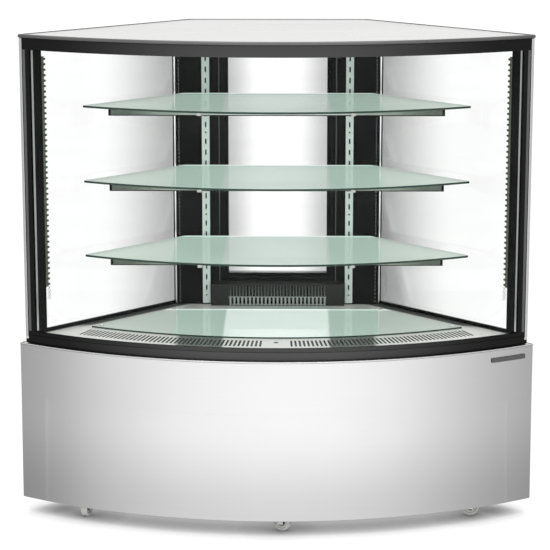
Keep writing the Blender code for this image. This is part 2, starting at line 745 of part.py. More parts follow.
def make_top():
    ring = [plan(GLASS_GAP + FRONT_GLASS + FIT, CASE_GAP + SIDE_GLASS + FIT, WALL_FRONT - FIT),
            plan(0.040, 0.045, TOP_FRAME_BACK)]
    prism("top_frame", ring, GLASS_TOP - TOP_FRAME_LOW, level(TOP_FRAME_LOW))
    low = GLASS_TOP + FIT
    prism("top_trim", [front_band(0.005, 0.013, TRIM_GAP)], HEIGHT - low, level(low), "dark_trim")
    prism("top_panel", [plan(0.013 + FIT, TRIM_GAP, WALL_BACK)], HEIGHT - low, level(low),
          "top_laminate")


# ---- Rear door ----


def make_door():
    side = OPENING_HALF + REBATE - DOOR_CLEARANCE
    low = OPENING_LOW - REBATE + DOOR_CLEARANCE
    high = OPENING_HIGH + REBATE - DOOR_CLEARANCE
    leaf = rectangle(-side, side, low, high)
    pane_half = side - DOOR_STILE
    window = rectangle(-pane_half, pane_half, low + DOOR_STILE, high - DOOR_STILE)
    door = prism("door_frame", [leaf, window], DOOR_BACK - DOOR_FRONT, upright(DOOR_FRONT))
    hinge_x = HINGE_INSET - side
    hinge_depth = DOOR_BACK - HINGE_INSET
    bore = cylinder("bore", 0.0042, 1.0, place_at(hinge_x, hinge_depth, 0.4), segments=12)
    cut(door, [bore])
    rod_low = OPENING_LOW - REBATE + FIT
    rod_high = OPENING_HIGH + REBATE - FIT
    cylinder("door_hinge_rod", HINGE_RADIUS, rod_high - rod_low,
             place_at(hinge_x, hinge_depth, rod_low), "brushed_steel", segments=12)
    pane = rectangle(FIT - pane_half, pane_half - FIT, low + DOOR_STILE + FIT,
                     high - DOOR_STILE - FIT)
    prism("door_glass", [pane], 0.016, upright(DOOR_FRONT + 0.005), "clear_glass")
    seal = [rectangle(inset - side, side - inset, low + inset, high - inset)
            for inset in (GASKET_INSET, GASKET_INSET + GASKET_WIDTH)]
    prism("door_gasket", seal, DOOR_FRONT - REBATE_FRONT - 3 * FIT, upright(REBATE_FRONT + 2 * FIT),
          "rubber_seal")
    make_door_handle(side - DOOR_STILE / 2)


def make_door_handle(x):
    """A low bridge pull on the latch stile."""
    foot = DOOR_BACK + FIT
    top = HANDLE_BACK
    low, high = HANDLE_LOW, HANDLE_HIGH
    outline = [(foot, low), (top - 0.006, low + 0.003), (top, low + 0.012), (top, high - 0.012),
               (top - 0.006, high - 0.003), (foot, high), (foot, high - 0.014),
               (top - 0.008, high - 0.018), (top - 0.006, high - 0.024), (top - 0.006, low + 0.024),
               (top - 0.008, low + 0.018), (foot, low + 0.014)]
    prism("door_handle", [outline], 0.014, sideways(x - 0.007), "black_plastic")


# ---- Shelves ----


def slot_heights():
    """Middles of the standards' slots: groups between screw holes, one above the last."""
    heights = [FIRST_SLOT + GROUP_PITCH * group + SLOT_PITCH * step for group in range(3)
               for step in range(SLOTS_PER_GROUP)]
    return heights + [FIRST_SLOT + GROUP_PITCH * 3]


def make_standards():
    """Slotted uprights; each slot runs through to the pillar behind, so a hook can drop into it."""
    low = DECK_TOP + FIT + 0.006
    high = TOP_FRAME_LOW - FIT
    half = STANDARD_WIDTH / 2
    for side, word in ((-1, "left"), (1, "right")):
        x = side * STANDARD_X
        slots = [rectangle(x - 0.00225, x + 0.00225, z - 0.008, z + 0.008) for z in slot_heights()]
        holes = [circle(x, FIRST_SLOT - SCREW_DROP + GROUP_PITCH * group, 0.003, 6)
                 for group in range(4)]
        prism(f"{word}_shelf_standard", [rectangle(x - half, x + half, low, high)] + slots + holes,
              WALL_FRONT - FIT - STANDARD_FRONT, upright(STANDARD_FRONT), "standard_paint")


def make_shelf(word, top):
    under = top - SHELF_THICKNESS
    outline = plan(SHELF_FRONT_GAP, SHELF_SIDE_GAP, SHELF_BACK)
    prism(f"{word}_shelf", [outline], SHELF_THICKNESS, level(under), "shelf_glass")
    make_shelf_carrier(word, under - FIT)


def make_shelf_carrier(word, top):
    """Two hooked arms under the glass, tied by the long lamp bar that crosses them."""
    back = STANDARD_FRONT - FIT
    hooks = []
    for drop in HOOK_DROPS:
        middle = top - drop
        hooks += [(back, middle + 0.004), (back + 0.0065, middle + 0.004),
                  (back + 0.0065, middle - 0.0048), (back + 0.0045, middle - 0.0048),
                  (back + 0.0045, middle - 0.0035), (back, middle - 0.0035)]
    profile = [(ARM_FRONT, top), (back, top)] + hooks + [
        (back, top - 0.064), (back - 0.030, top - 0.060), (SHELF_BAR_DEPTH + 0.015, top - 0.018),
        (ARM_FRONT, top - 0.008)]
    left = prism(f"{word}_shelf_carrier", [profile], 0.003, sideways(-STANDARD_X - 0.0015))
    right = prism("arm", [profile], 0.003, sideways(STANDARD_X - 0.0015))
    bar = box("bar", (-SHELF_BAR_HALF, SHELF_BAR_DEPTH - 0.010, top - 0.0195),
              (SHELF_BAR_HALF, SHELF_BAR_DEPTH + 0.010, top - 0.0005))
    combine(left, [right, bar])


# ---- Deck ----


def make_deck():
    slots = []
    for side in (-1, 1):
        for step in range(DECK_SLOTS):
            angle = side * (DECK_FIRST_ANGLE + DECK_SLOT_STEP * step)
            slots.append(radial_slot(angle, *DECK_SLOT_GAPS, DECK_SLOT_WIDTH))
    finger_hole = circle(0, FINGER_HOLE_GAP, 0.0065, 12)
    surface = plan(RAIL_BACK + FIT, SIDE_RAIL_BACK + FIT, WALL_FRONT - FIT)
    prism("deck_pan", [surface, finger_hole] + slots, SHEET, level(DECK_TOP - SHEET),
          "polished_steel")
    pane = plan(DECK_GLASS_FRONT_GAP, DECK_GLASS_SIDE_GAP, DECK_GLASS_BACK)
    prism("deck_glass", [pane], 0.005, level(DECK_TOP + FIT), "shelf_glass")


def make_air_duct_cover():
    low = DECK_TOP + FIT
    high = DECK_TOP + 0.065
    wall = WALL_FRONT - FIT
    profile = [(DUCT_FRONT, low), (DUCT_FRONT, high), (wall, high + 0.005), (wall, high + 0.003),
               (DUCT_FRONT + SHEET, high - 0.0015), (DUCT_FRONT + SHEET, low)]
    cover = prism("air_duct_cover", [profile], 2 * DUCT_HALF, sideways(-DUCT_HALF))
    slots = row_of_slots(24, 0.0115, 0.006, DECK_TOP + 0.003, DECK_TOP + 0.015)
    slits = row_of_slots(13, 0.022, 0.0025, DECK_TOP + 0.022, DECK_TOP + 0.058)
    cutters = [prism("slot", [slot], 0.010, upright(DUCT_FRONT - 0.004)) for slot in slots + slits]
    cut(cover, cutters)


# ---- Castors ----


def make_castor(word, x, depth, heading):
    """A swivel castor: its fork swivels about the upright axis and its wheel turns on the axle."""
    turn = Matrix.Rotation(math.radians(heading - 90), 4, "Z")
    swivel = bpy.data.objects.new(f"{word}_castor_swivel", None)
    PARTS.objects.link(swivel)
    swivel.matrix_world = place_at(x, depth, 0) @ turn
    bpy.context.view_layer.update()
    stance = swivel.matrix_world.copy()
    plate_place = stance @ Matrix.Translation((0, 0, 0.0627))
    fork = cylinder(f"{word}_castor_fork", 0.021, 0.0070, plate_place, "galvanised_steel",
                    segments=14)
    leg = [(-0.012, 0.0650), (0.014, 0.0650), (0.0275, 0.0300), (0.0275, 0.0190),
           (0.0125, 0.0190), (0.0105, 0.0300)]
    across = Matrix(((0, 0, 1, 0), (1, 0, 0, 0), (0, 1, 0, 0), (0, 0, 0, 1)))
    legs = [prism("leg", [leg], 0.0025, stance @ Matrix.Translation((left, 0, 0)) @ across)
            for left in (-0.0130, 0.0105)]
    axle_place = stance @ Matrix.Translation((0, CASTOR_TRAIL, WHEEL_HEIGHT))
    along_x = Matrix.Rotation(math.pi / 2, 4, "Y")
    axle_end = axle_place @ Matrix.Translation((-0.015, 0, 0)) @ along_x
    axle = cylinder("axle", AXLE_RADIUS, 0.030, axle_end, segments=8)
    combine(fork, legs + [axle])
    rim = WHEEL_HEIGHT / math.cos(math.pi / WHEEL_FACETS)
    bore = AXLE_RADIUS + 0.0003
    hub = WHEEL_HALF + 0.0006
    profile = [(rim - 0.0015, WHEEL_HALF), (rim, WHEEL_HALF - 0.003), (rim, 0.003 - WHEEL_HALF),
               (rim - 0.0015, -WHEEL_HALF), (bore, -hub), (bore, hub)]
    half_facet = Matrix.Rotation(math.pi / WHEEL_FACETS, 4, "Z")
    wheel = turned(f"{word}_castor_wheel", profile, WHEEL_FACETS, axle_place @ along_x @ half_facet,
                   "nylon", closed=True)
    for piece in (fork, wheel):
        place = piece.matrix_world.copy()
        piece.parent = swivel
        piece.matrix_world = place


clear_scene()
PARTS = new_collection(COLLECTION)


def main():
    make_base_panels()
    make_floor_pan()
    make_drip_tray()
    make_rear_grille()
    make_control_panel()
    make_controller()
    make_power_switch()
    make_cord_gland()
    make_well_liner()
    make_evaporator()
    make_condenser()
    make_compressor()
    make_refrigerant_pipe()
    make_rails()
    make_glazing()
    make_front_posts()
    make_rear_frame()
    make_top()
    make_door()
    make_standards()
    for word, top in SHELF_TOPS.items():
        make_shelf(word, top)
    make_deck()
    make_air_duct_cover()
    for word, (x, depth, heading) in CASTORS.items():
        make_castor(word, x, depth, heading)


main()
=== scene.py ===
"""Looks of the refrigerated corner bakery case: finer meshes, finishes, studio and camera.

Depth is measured back from the crown of the curved base front. A gap is how far a line is set in:
a front gap from that curved front, a side gap from a 45 degree side.
"""

import json
import math

import bmesh
import bpy
from mathutils import Matrix, Vector


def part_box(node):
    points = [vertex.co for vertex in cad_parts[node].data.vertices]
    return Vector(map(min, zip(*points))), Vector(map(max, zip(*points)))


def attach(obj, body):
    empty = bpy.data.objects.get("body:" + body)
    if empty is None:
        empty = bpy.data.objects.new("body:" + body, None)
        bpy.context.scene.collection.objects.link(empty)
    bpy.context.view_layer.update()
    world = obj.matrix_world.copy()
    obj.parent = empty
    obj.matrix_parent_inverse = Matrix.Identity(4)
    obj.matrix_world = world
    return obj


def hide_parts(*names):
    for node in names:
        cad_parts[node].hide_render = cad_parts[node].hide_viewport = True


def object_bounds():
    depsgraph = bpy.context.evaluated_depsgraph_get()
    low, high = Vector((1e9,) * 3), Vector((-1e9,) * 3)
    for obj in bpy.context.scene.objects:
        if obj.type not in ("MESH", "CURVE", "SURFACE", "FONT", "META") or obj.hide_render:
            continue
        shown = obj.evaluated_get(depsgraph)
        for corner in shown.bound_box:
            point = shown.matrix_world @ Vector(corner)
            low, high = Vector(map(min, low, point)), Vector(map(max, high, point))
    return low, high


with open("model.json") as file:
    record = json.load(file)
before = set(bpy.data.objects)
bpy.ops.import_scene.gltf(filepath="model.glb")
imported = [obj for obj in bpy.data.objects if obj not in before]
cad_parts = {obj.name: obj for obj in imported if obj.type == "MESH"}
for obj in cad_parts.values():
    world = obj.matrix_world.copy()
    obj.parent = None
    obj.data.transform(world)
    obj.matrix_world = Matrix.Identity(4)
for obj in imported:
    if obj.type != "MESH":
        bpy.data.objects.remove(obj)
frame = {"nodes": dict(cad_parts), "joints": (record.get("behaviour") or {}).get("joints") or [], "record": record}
CAD_LOW, CAD_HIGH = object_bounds()

ROOT2 = math.sqrt(2)
ARC_RADIUS = 1.328  # plan radius of the curved base front
SIDE_SUM = 0.9125  # x + depth anywhere on the right side of the base
FINE = 96  # steps along a curved front
SIDES = ((-1, "left"), (1, "right"))


def low(node):
    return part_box(node)[0]


def high(node):
    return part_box(node)[1]


def depth_of(y):
    return y - CAD_LOW.y


BASE_TOP = high("front_panel").z
DECK_TOP = high("deck_pan").z
GLASS_LOW = low("front_glass").z
GLASS_TOP = high("front_glass").z
BAND_LOW = low("top_frame").z
WALL_FRONT = depth_of(low("rear_frame").y)
WALL_BACK = depth_of(high("rear_frame").y)
GLASS_GAP = 0.009  # front glass behind the base front
GLASS_THICK = 0.006
CASE_GAP = 0.0138  # glass case inside the base side
POST_INNER_GAP = 0.028  # side gap of a front post's inner face
RAIL_BACK = 0.032  # front gap of the back of the front rail
TRIM_SIDE = 0.0132  # top board inside the base side
DECK_GLASS_GAP = 0.178  # front and side gaps of the glass plate on the deck
DECK_GLASS_SIDE = 0.0654
SHELF_GAP = 0.165  # front and side gaps of a glass shelf, and the depth of its back
SHELF_SIDE = 0.0583
SHELF_BACK = 0.560
ARM_X = 0.208  # from the middle of the case to a shelf arm

SILL_BAND = BASE_TOP + 0.0355  # top of the black border along the foot of the front glass
EDGE_CHANNEL = 0.0082  # width of the bright channel on each upright edge of the pane
SIDE_BAND = 0.0325  # width of the black border along those edges


# ---- Plan ----


def place(x, depth, z):
    """A point in the world, from its x, its depth behind the crown of the front and its height."""
    return Vector((x, CAD_LOW.y + depth, z))


def side_x(gap, depth):
    """Where a line set in from the right side by this gap has this depth."""
    return SIDE_SUM - gap * ROOT2 - depth


def corner(front_gap, side_gap):
    """(x, depth) where the front arc meets the right side, each set in by its gap."""
    radius = ARC_RADIUS - front_gap
    side_sum = SIDE_SUM - side_gap * ROOT2
    middle = (side_sum + ARC_RADIUS) / 2
    rest = (side_sum**2 + ARC_RADIUS**2 - radius**2) / 2
    depth = middle - math.sqrt(middle**2 - rest)
    return side_sum - depth, depth


def half_angle(front_gap, side_gap):
    """The turn of the front arc from its crown to that corner."""
    x, depth = corner(front_gap, side_gap)
    return math.atan2(x, ARC_RADIUS - depth)


def on_arc(front_gap, turn):
    radius = ARC_RADIUS - front_gap
    return radius * math.sin(turn), ARC_RADIUS - radius * math.cos(turn)


def plan(front_gap, side_gap, back):
    """The outline of a plate with a curved front, 45 degree sides and a straight back."""
    half = half_angle(front_gap, side_gap)
    front = [on_arc(front_gap, half * (2 * step / FINE - 1)) for step in range(FINE + 1)]
    edge = side_x(side_gap, back)
    return front + [(edge, back), (-edge, back)]


def round_corners(outline, radius, steps=5, sharpest=math.radians(20)):
    """The outline with each sharp corner turned through a small arc."""
    result = []
    count = len(outline)
    for index in range(count):
        here = Vector(outline[index])
        before = Vector(outline[index - 1]) - here
        after = Vector(outline[(index + 1) % count]) - here
        turn = math.pi - before.angle(after)
        reach = radius * math.tan(turn / 2)
        if turn < sharpest or reach > 0.9 * min(before.length, after.length):
            result.append(tuple(here))
            continue
        start = here + before.normalized() * reach
        end = here + after.normalized() * reach
        for step in range(steps + 1):
            t = step / steps
            point = start * (1 - t) ** 2 + here * 2 * t * (1 - t) + end * t**2
            result.append(tuple(point))
    return result


# ---- Meshes ----


def add_piece(name, shape, materials, body="root", stands_for=(), smooth=35):
    """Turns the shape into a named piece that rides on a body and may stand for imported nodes."""
    mesh = bpy.data.meshes.new(name)
    bmesh.ops.recalc_face_normals(shape, faces=shape.faces)
    shape.to_mesh(mesh)
    shape.free()
    for material in materials if isinstance(materials, (list, tuple)) else [materials]:
        mesh.materials.append(material)
    mesh.shade_smooth()
    mesh.set_sharp_from_angle(angle=math.radians(smooth))
    obj = bpy.data.objects.new(name, mesh)
    bpy.context.scene.collection.objects.link(obj)
    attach(obj, body)
    if stands_for:
        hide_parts(*stands_for)
    return obj


def soften(obj, width, segments=2, angle=30, weld=False):
    """Rounds the piece's edges."""
    if weld:
        joined = obj.modifiers.new("weld", "WELD")
        joined.merge_threshold = 1e-5
    bevel = obj.modifiers.new("soft_edges", "BEVEL")
    bevel.width = width
    bevel.segments = segments
    bevel.limit_method = "ANGLE"
    bevel.angle_limit = math.radians(angle)
    bevel.harden_normals = True


def skin(shape, rings, closed=False):
    """Faces between rings of equally many vertices, with caps on the ends of an open run."""
    faces = []
    pairs = list(zip(rings, rings[1:])) + ([(rings[-1], rings[0])] if closed else [])
    for first, second in pairs:
        for index in range(len(first)):
            after = (index + 1) % len(first)
            corners = (first[index], first[after], second[after], second[index])
            faces.append(shape.faces.new(corners))
    if not closed:
        shape.faces.new(rings[0])
        shape.faces.new(rings[-1][::-1])
    return faces


def arc_sweep(shape, profile, side_gap, offsets=None):
    """Carries a closed (front gap, height) profile along the front. Offsets are the arc lengths
    from an end at which to put a ring, repeated at the other end; the middle has even steps."""
    rings = []
    for step in range(FINE + 1):
        ring = []
        for gap, z in profile:
            half = half_angle(gap, side_gap)
            turn = half * (2 * step / FINE - 1)
            if offsets:
                last = offsets[-1] / (ARC_RADIUS - gap)
                near = min(step, FINE - step)
                if near < len(offsets):
                    turn = half - offsets[near] / (ARC_RADIUS - gap)
                else:
                    share = (near - len(offsets) + 1) / (FINE / 2 - len(offsets) + 1)
                    turn = (half - last) * (1 - share)
                turn *= -1 if step < FINE / 2 else 1
            ring.append(shape.verts.new(place(*on_arc(gap, turn), z)))
        rings.append(ring)
    return skin(shape, rings)


def side_sweep(shape, side, profile, start, end):
    """Carries a closed (side gap, height) profile along a side. Start is a depth, or a function
    that gives the depth for a gap."""
    rings = [[], []]
    for gap, z in profile:
        first = start(gap) if callable(start) else start
        rings[0].append(shape.verts.new(place(side * side_x(gap, first), first, z)))
        rings[1].append(shape.verts.new(place(side * side_x(gap, end), end, z)))
    skin(shape, rings)


def slab(shape, outline, bottom, top):
    """A plan outline of (x, depth) between two heights. Returns the edge faces."""
    rings = [[shape.verts.new(place(x, depth, z)) for x, depth in outline] for z in (bottom, top)]
    return skin(shape, rings)


def block(shape, first, second):
    """A box between two corners given as (x, depth, height)."""
    outline = [(first[0], first[1]), (second[0], first[1]), (second[0], second[1]),
               (first[0], second[1])]
    slab(shape, outline, first[2], second[2])


def lathe(shape, profile, where):
    """Turns a closed (radius, height) profile about the matrix's Z axis."""
    steps = 48
    rings = []
    for step in range(steps):
        turn = Matrix.Rotation(2 * math.pi * step / steps, 4, "Z")
        rings.append([shape.verts.new(where @ turn @ Vector((radius, 0, height)))
                      for radius, height in profile])
    skin(shape, rings, closed=True)


def rounded_box(shape, centre, size, radius, where=Matrix.Identity(4)):
    """A box with rounded upright edges and a slight crown, for clips, chips and rivets."""
    x, y, z = (length / 2 for length in size)
    outline = round_corners([(-x, -y), (x, -y), (x, y), (-x, y)], radius, steps=3)
    rings = []
    inset = min(radius, z) * 0.4
    for height, shrink in ((-z, inset), (-z + inset, 0), (z - inset, 0), (z, inset)):
        scale_x, scale_y = (x - shrink) / x, (y - shrink) / y
        ring = [Vector(centre) + Vector((u * scale_x, v * scale_y, height)) for u, v in outline]
        rings.append([shape.verts.new(where @ point) for point in ring])
    skin(shape, rings)


def wire(shape, path, radius):
    """A thin lead that runs mostly downward."""
    sides = 6
    turns = [2 * math.pi * index / sides for index in range(sides)]
    skin(shape, [[shape.verts.new(point + radius * Vector((math.cos(turn), math.sin(turn), 0)))
                  for turn in turns] for point in path])


def aim(point, direction):
    """A matrix at this point whose Z axis looks along the direction."""
    return Matrix.Translation(point) @ Vector(direction).to_track_quat("Z", "Y").to_matrix().to_4x4()


# ---- Finishes ----


def scaled(colour, factor):
    return tuple(channel * factor for channel in colour)


class Graph:
    """The node tree of one material, or of the world given as its owner."""

    def __init__(self, name, owner=None):
        self.owner = owner or bpy.data.materials.new(name)
        self.owner.use_nodes = True
        self.tree = self.owner.node_tree
        self.tree.nodes.clear()
        self.coordinates = self.add("TexCoord").outputs["Object"]

    def add(self, kind, inputs=None, **settings):
        node = self.tree.nodes.new("ShaderNode" + kind)
        for key, value in settings.items():
            setattr(node, key, value)
        for key, value in (inputs or {}).items():
            self.feed(node.inputs[key], value)
        return node

    def feed(self, socket, value):
        if isinstance(value, bpy.types.NodeSocket):
            self.tree.links.new(value, socket)
        elif socket.type == "RGBA":
            socket.default_value = (*value, 1.0)
        else:
            socket.default_value = value

    def noise(self, stretch, detail=3.0, roughness=0.55):
        """Noise whose scale along each axis is given by stretch."""
        mapped = self.add("Mapping", {"Vector": self.coordinates, "Scale": stretch})
        return self.add("TexNoise", {"Vector": mapped.outputs[0], "Scale": 1.0, "Detail": detail,
                                     "Roughness": roughness}).outputs["Fac"]

    def cells(self, scale):
        mapped = self.add("Mapping", {"Vector": self.coordinates, "Scale": (scale,) * 3})
        return self.add("TexVoronoi", {"Vector": mapped.outputs[0], "Scale": 1.0}).outputs["Color"]

    def remap(self, value, start, end, to_start, to_end):
        return self.add("MapRange", {"Value": value, "From Min": start, "From Max": end,
                                     "To Min": to_start, "To Max": to_end}).outputs[0]

    def blend(self, factor, first, second):
        return self.add("Mix", {0: factor, 6: first, 7: second}, data_type="RGBA").outputs[2]

    def maths(self, operation, first, second=0.0):
        return self.add("Math", {0: first, 1: second}, operation=operation).outputs[0]

    def bump(self, height, strength, distance=0.001):
        return self.add("Bump", {"Height": height, "Strength": strength,
                                 "Distance": distance}).outputs[0]

    def principled(self, **inputs):
        names = {key.replace("_", " "): value for key, value in inputs.items()}
        return self.add("BsdfPrincipled", names).outputs[0]

    def emission(self, colour, strength):
        """Light that shows but isn't sampled as a lamp."""
        self.owner.cycles.emission_sampling = "NONE"
        return self.add("Emission", {"Color": colour, "Strength": strength}).outputs[0]

    def mix_surfaces(self, factor, first, second):
        return self.add("MixShader", {0: factor, 1: first, 2: second}).outputs[0]

    def finish(self, surface, output="OutputMaterial"):
        self.add(output, {"Surface": surface})
        return self.owner


def across(g, start, end, from_value, to_value, axis="X"):
    """A value that eases from one level to another: along X by the distance from the middle, and
    along Y or Z by the place itself."""
    distance = g.add("SeparateXYZ", {"Vector": g.coordinates}).outputs[axis]
    if axis == "X":
        distance = g.maths("ABSOLUTE", distance)
    return g.add("MapRange", {"Value": distance, "From Min": start, "From Max": end,
                              "To Min": from_value, "To Max": to_value},
                 interpolation_type="SMOOTHSTEP").outputs[0]


def brushed_metal(name, colour, roughness, grain=(5, 5, 700), spread=0.07, anisotropy=0.5,
                  foot=1.0):
    """Sheet metal brushed along the level, with soft smears where it has been wiped. Foot is how
    much of its brightness is left near the floor: a painted shade that stands for the floor's
    shadow mirrored in the lower sheet."""
    g = Graph(name)
    streaks = g.noise(grain, 4.0, 0.65)
    smears = g.noise((2.2, 2.2, 3.5), 3.0)
    rough = g.maths("ADD", g.remap(streaks, 0.25, 0.75, roughness - spread, roughness + spread),
                    g.remap(smears, 0.35, 0.7, -0.02, 0.05))
    shade = g.remap(streaks, 0.2, 0.8, 0.0, 1.0)
    tangent = g.add("Tangent", direction_type="RADIAL", axis="Z").outputs[0]
    # Painted shade: below about 0.3 m the colour darkens toward the foot level.
    base = g.blend(across(g, 0.05, 0.31, 1.0, 0.0, "Z"),
                   g.blend(shade, scaled(colour, 0.965), scaled(colour, 1.03)), scaled(colour, foot))
    surface = g.principled(Base_Color=base, Metallic=1.0, Roughness=rough,
                           Anisotropic=anisotropy, Anisotropic_Rotation=0.25, Tangent=tangent,
                           Normal=g.bump(streaks, 0.07, 0.0003))
    return g.finish(surface)


def coated_metal(name, colour, roughness, specular=0.35, worn=(0.06, 0.06, 0.062), metallic=0.0):
    """Powder coat or paint: a fine orange peel, a little dust and rare light scuffs."""
    g = Graph(name)
    peel = g.noise((900, 900, 900), 2.0)
    dust = g.noise((9, 9, 5), 4.0)
    scuffs = g.noise((35, 35, 420), 2.0, 0.7)
    mark = g.remap(scuffs, 0.70, 0.78, 0.0, 0.35)
    base = g.blend(g.remap(dust, 0.4, 0.75, 0.0, 0.22), colour, worn)
    surface = g.principled(Base_Color=g.blend(mark, base, worn), Metallic=metallic,
                           Roughness=g.remap(dust, 0.3, 0.8, roughness - 0.04, roughness + 0.10),
                           Specular_IOR_Level=specular, Normal=g.bump(peel, 0.10, 0.0002))
    return g.finish(surface)


def moulded(name, colour, roughness, specular=0.4, stain=None, grain=1400):
    """Moulded plastic or rubber with a fine spark-eroded texture."""
    g = Graph(name)
    texture = g.noise((grain, grain, grain), 2.0)
    soil = g.noise((24, 24, 24), 4.0)
    stain = stain or tuple(channel * 1.5 + 0.01 for channel in colour)
    surface = g.principled(Base_Color=g.blend(g.remap(soil, 0.45, 0.8, 0.0, 0.45), colour, stain),
                           Roughness=g.remap(soil, 0.3, 0.8, roughness - 0.05, roughness + 0.12),
                           Specular_IOR_Level=specular, Normal=g.bump(texture, 0.25, 0.0002))
    return g.finish(surface)


def galvanised():
    """Zinc plate with a faint spangle."""
    g = Graph("galvanised_steel")
    spangle = g.cells(160)
    shade = g.add("SeparateColor", {"Color": spangle}).outputs[0]
    surface = g.principled(Base_Color=g.blend(shade, (0.40, 0.42, 0.43), (0.58, 0.60, 0.61)),
                           Metallic=1.0, Roughness=g.remap(shade, 0.0, 1.0, 0.34, 0.52),
                           Normal=g.bump(g.noise((300, 300, 300)), 0.08, 0.0003))
    return g.finish(surface)


def laminate():
    """The light grey top: satin, with soft pale wiping streaks along it and a trace of dust."""
    g = Graph("top_laminate")
    clouds = g.noise((1.6, 7.0, 2.0), 2.0)
    dust = g.noise((25, 25, 25), 3.0)
    colour = g.blend(g.remap(clouds, 0.40, 0.66, 0.0, 1.0), (0.505, 0.505, 0.50),
                     (0.56, 0.56, 0.555))
    surface = g.principled(Base_Color=g.blend(g.remap(dust, 0.55, 0.8, 0.0, 0.10), colour,
                                              (0.44, 0.43, 0.42)),
                           Roughness=g.remap(clouds, 0.3, 0.8, 0.24, 0.34),
                           Specular_IOR_Level=0.5)
    return g.finish(surface)


def layered(g, body, gloss):
    """A clear coat over this body that mirrors by its angle."""
    mirror = g.add("BsdfGlossy", {"Roughness": 0.0}).outputs[0]
    fresnel = g.add("Fresnel", {"IOR": 1.45}).outputs[0]
    return g.finish(g.mix_surfaces(g.maths("MULTIPLY", fresnel, gloss), body, mirror))


def painted_glow_glass(name, milk, middle, pillar, side, gloss, rim):
    """Shelf glass: pale green, with a painted glow: emission that stands for the light of the case's
    lamps and of what shows behind it. The painted light has one level in the middle of the case,
    one before the rear pillars and one beyond them, and a painted bright rim at the depth given.
    The levels change at about 0.15 and 0.29 to either side of the middle."""
    g = Graph(name)
    wipes = g.noise((3.0, 3.0, 6.0), 4.0, 0.6)
    clear = g.add("BsdfTransparent", {"Color": (0.90, 0.96, 0.93)}).outputs[0]
    flank = g.blend(across(g, 0.282, 0.292, 0.0, 1.0), (0.78, 1.0, 0.89), (0.88, 1.0, 0.91))
    colour = g.blend(across(g, 0.143, 0.151, 0.0, 1.0), (0.90, 1.0, 0.96), flank)
    veil = g.add("BsdfDiffuse", {"Color": (0.20, 0.24, 0.22)}).outputs[0]
    # Painted light: the glow's strength is set by place across the case, with a painted bright rim near the back.
    level = g.maths("ADD", across(g, 0.142, 0.151, middle, pillar),
                    across(g, 0.282, 0.292, 0.0, side - pillar))
    level = g.maths("ADD", level, across(g, CAD_LOW.y + rim - 0.022, CAD_LOW.y + rim - 0.008,
                                         0.0, 0.60, "Y"))
    level = g.maths("MULTIPLY", level, g.remap(wipes, 0.3, 0.7, 0.96, 1.05))
    painted_glow_shader = g.add("AddShader", {0: veil, 1: g.emission(colour, level)}).outputs[0]
    return layered(g, g.mix_surfaces(milk, clear, painted_glow_shader), gloss)


def deck_steel():
    """The satin steel deck, with a painted reflection: it darkens where it would mirror the rear
    pillars and the side rails. The walls of its slots are darkened with painted shade, and the
    rest of the deck has a faint painted glow."""
    g = Graph("deck_steel")
    grain = g.noise((500, 8, 8), 3.0)
    soil = g.noise((14, 14, 14), 4.0)
    # Painted reflection: a dark band where the deck would mirror the rear pillars, fading toward the front.
    painted_reflection_and_shade = g.maths("MULTIPLY", across(g, 0.140, 0.152, 0.0, 1.0), across(g, 0.262, 0.280, 1.0, 0.0))
    painted_reflection_and_shade = g.maths("MULTIPLY", painted_reflection_and_shade, across(g, CAD_LOW.y + 0.22, CAD_LOW.y + 0.32, 1.0, 0.3, "Y"))
    # Painted reflection of the side rails along each side toward the back.
    at = g.add("SeparateXYZ", {"Vector": g.coordinates}).outputs
    reach = g.maths("ADD", g.maths("ABSOLUTE", at["X"]), at["Y"])
    edge = SIDE_SUM + CAD_LOW.y
    painted_rail_reflection = g.maths("MULTIPLY", g.remap(reach, edge - 0.050 * ROOT2, edge - 0.040 * ROOT2, 0.0, 1.1),
                   across(g, CAD_LOW.y + 0.30, CAD_LOW.y + 0.35, 0.0, 1.0, "Y"))
    painted_reflection_and_shade = g.maths("MAXIMUM", painted_reflection_and_shade, painted_rail_reflection)
    # Painted shade: the upright walls of the slots are darkened.
    facing = g.add("SeparateXYZ", {"Vector": g.add("NewGeometry").outputs["True Normal"]})
    painted_slot_shade = g.remap(g.maths("ABSOLUTE", facing.outputs["Z"]), 0.3, 0.7, 1.0, 0.0)
    painted_reflection_and_shade = g.maths("MAXIMUM", painted_reflection_and_shade, g.maths("MULTIPLY", painted_slot_shade, 1.25))
    base = g.blend(g.remap(soil, 0.4, 0.8, 0.0, 0.4), (0.74, 0.74, 0.71), (0.60, 0.60, 0.57))
    surface = g.principled(Base_Color=g.blend(g.maths("MULTIPLY", painted_reflection_and_shade, 0.78), base,
                                              (0.06, 0.07, 0.062)),
                           Metallic=0.2, Roughness=g.remap(grain, 0.3, 0.7, 0.30, 0.42),
                           Specular_IOR_Level=0.5, Normal=g.bump(grain, 0.05, 0.0002),
                           # A faint painted glow wherever no painted reflection or shade darkens the deck.
                           Emission_Color=(0.95, 0.95, 0.92),
                           Emission_Strength=g.remap(painted_reflection_and_shade, 0.0, 1.0, 0.17, 0.0))
    return g.finish(surface)


def shaded_glass(name, start, end, darkest, axis):
    """A flat pane with painted shade: it darkens between two places, a side pane toward the rear
    pillar and the door's pane toward its stiles."""
    g = Graph(name)
    wipes = g.noise((3.0, 3.0, 6.0), 4.0, 0.6)
    # Painted shade: the pane's tint darkens from start to end.
    tone = g.maths("MULTIPLY", across(g, start, end, 1.0, darkest, axis),
                   g.remap(wipes, 0.3, 0.7, 1.0, 0.985))
    clear = g.add("BsdfTransparent", {"Color": tone}).outputs[0]
    return layered(g, clear, 0.5)


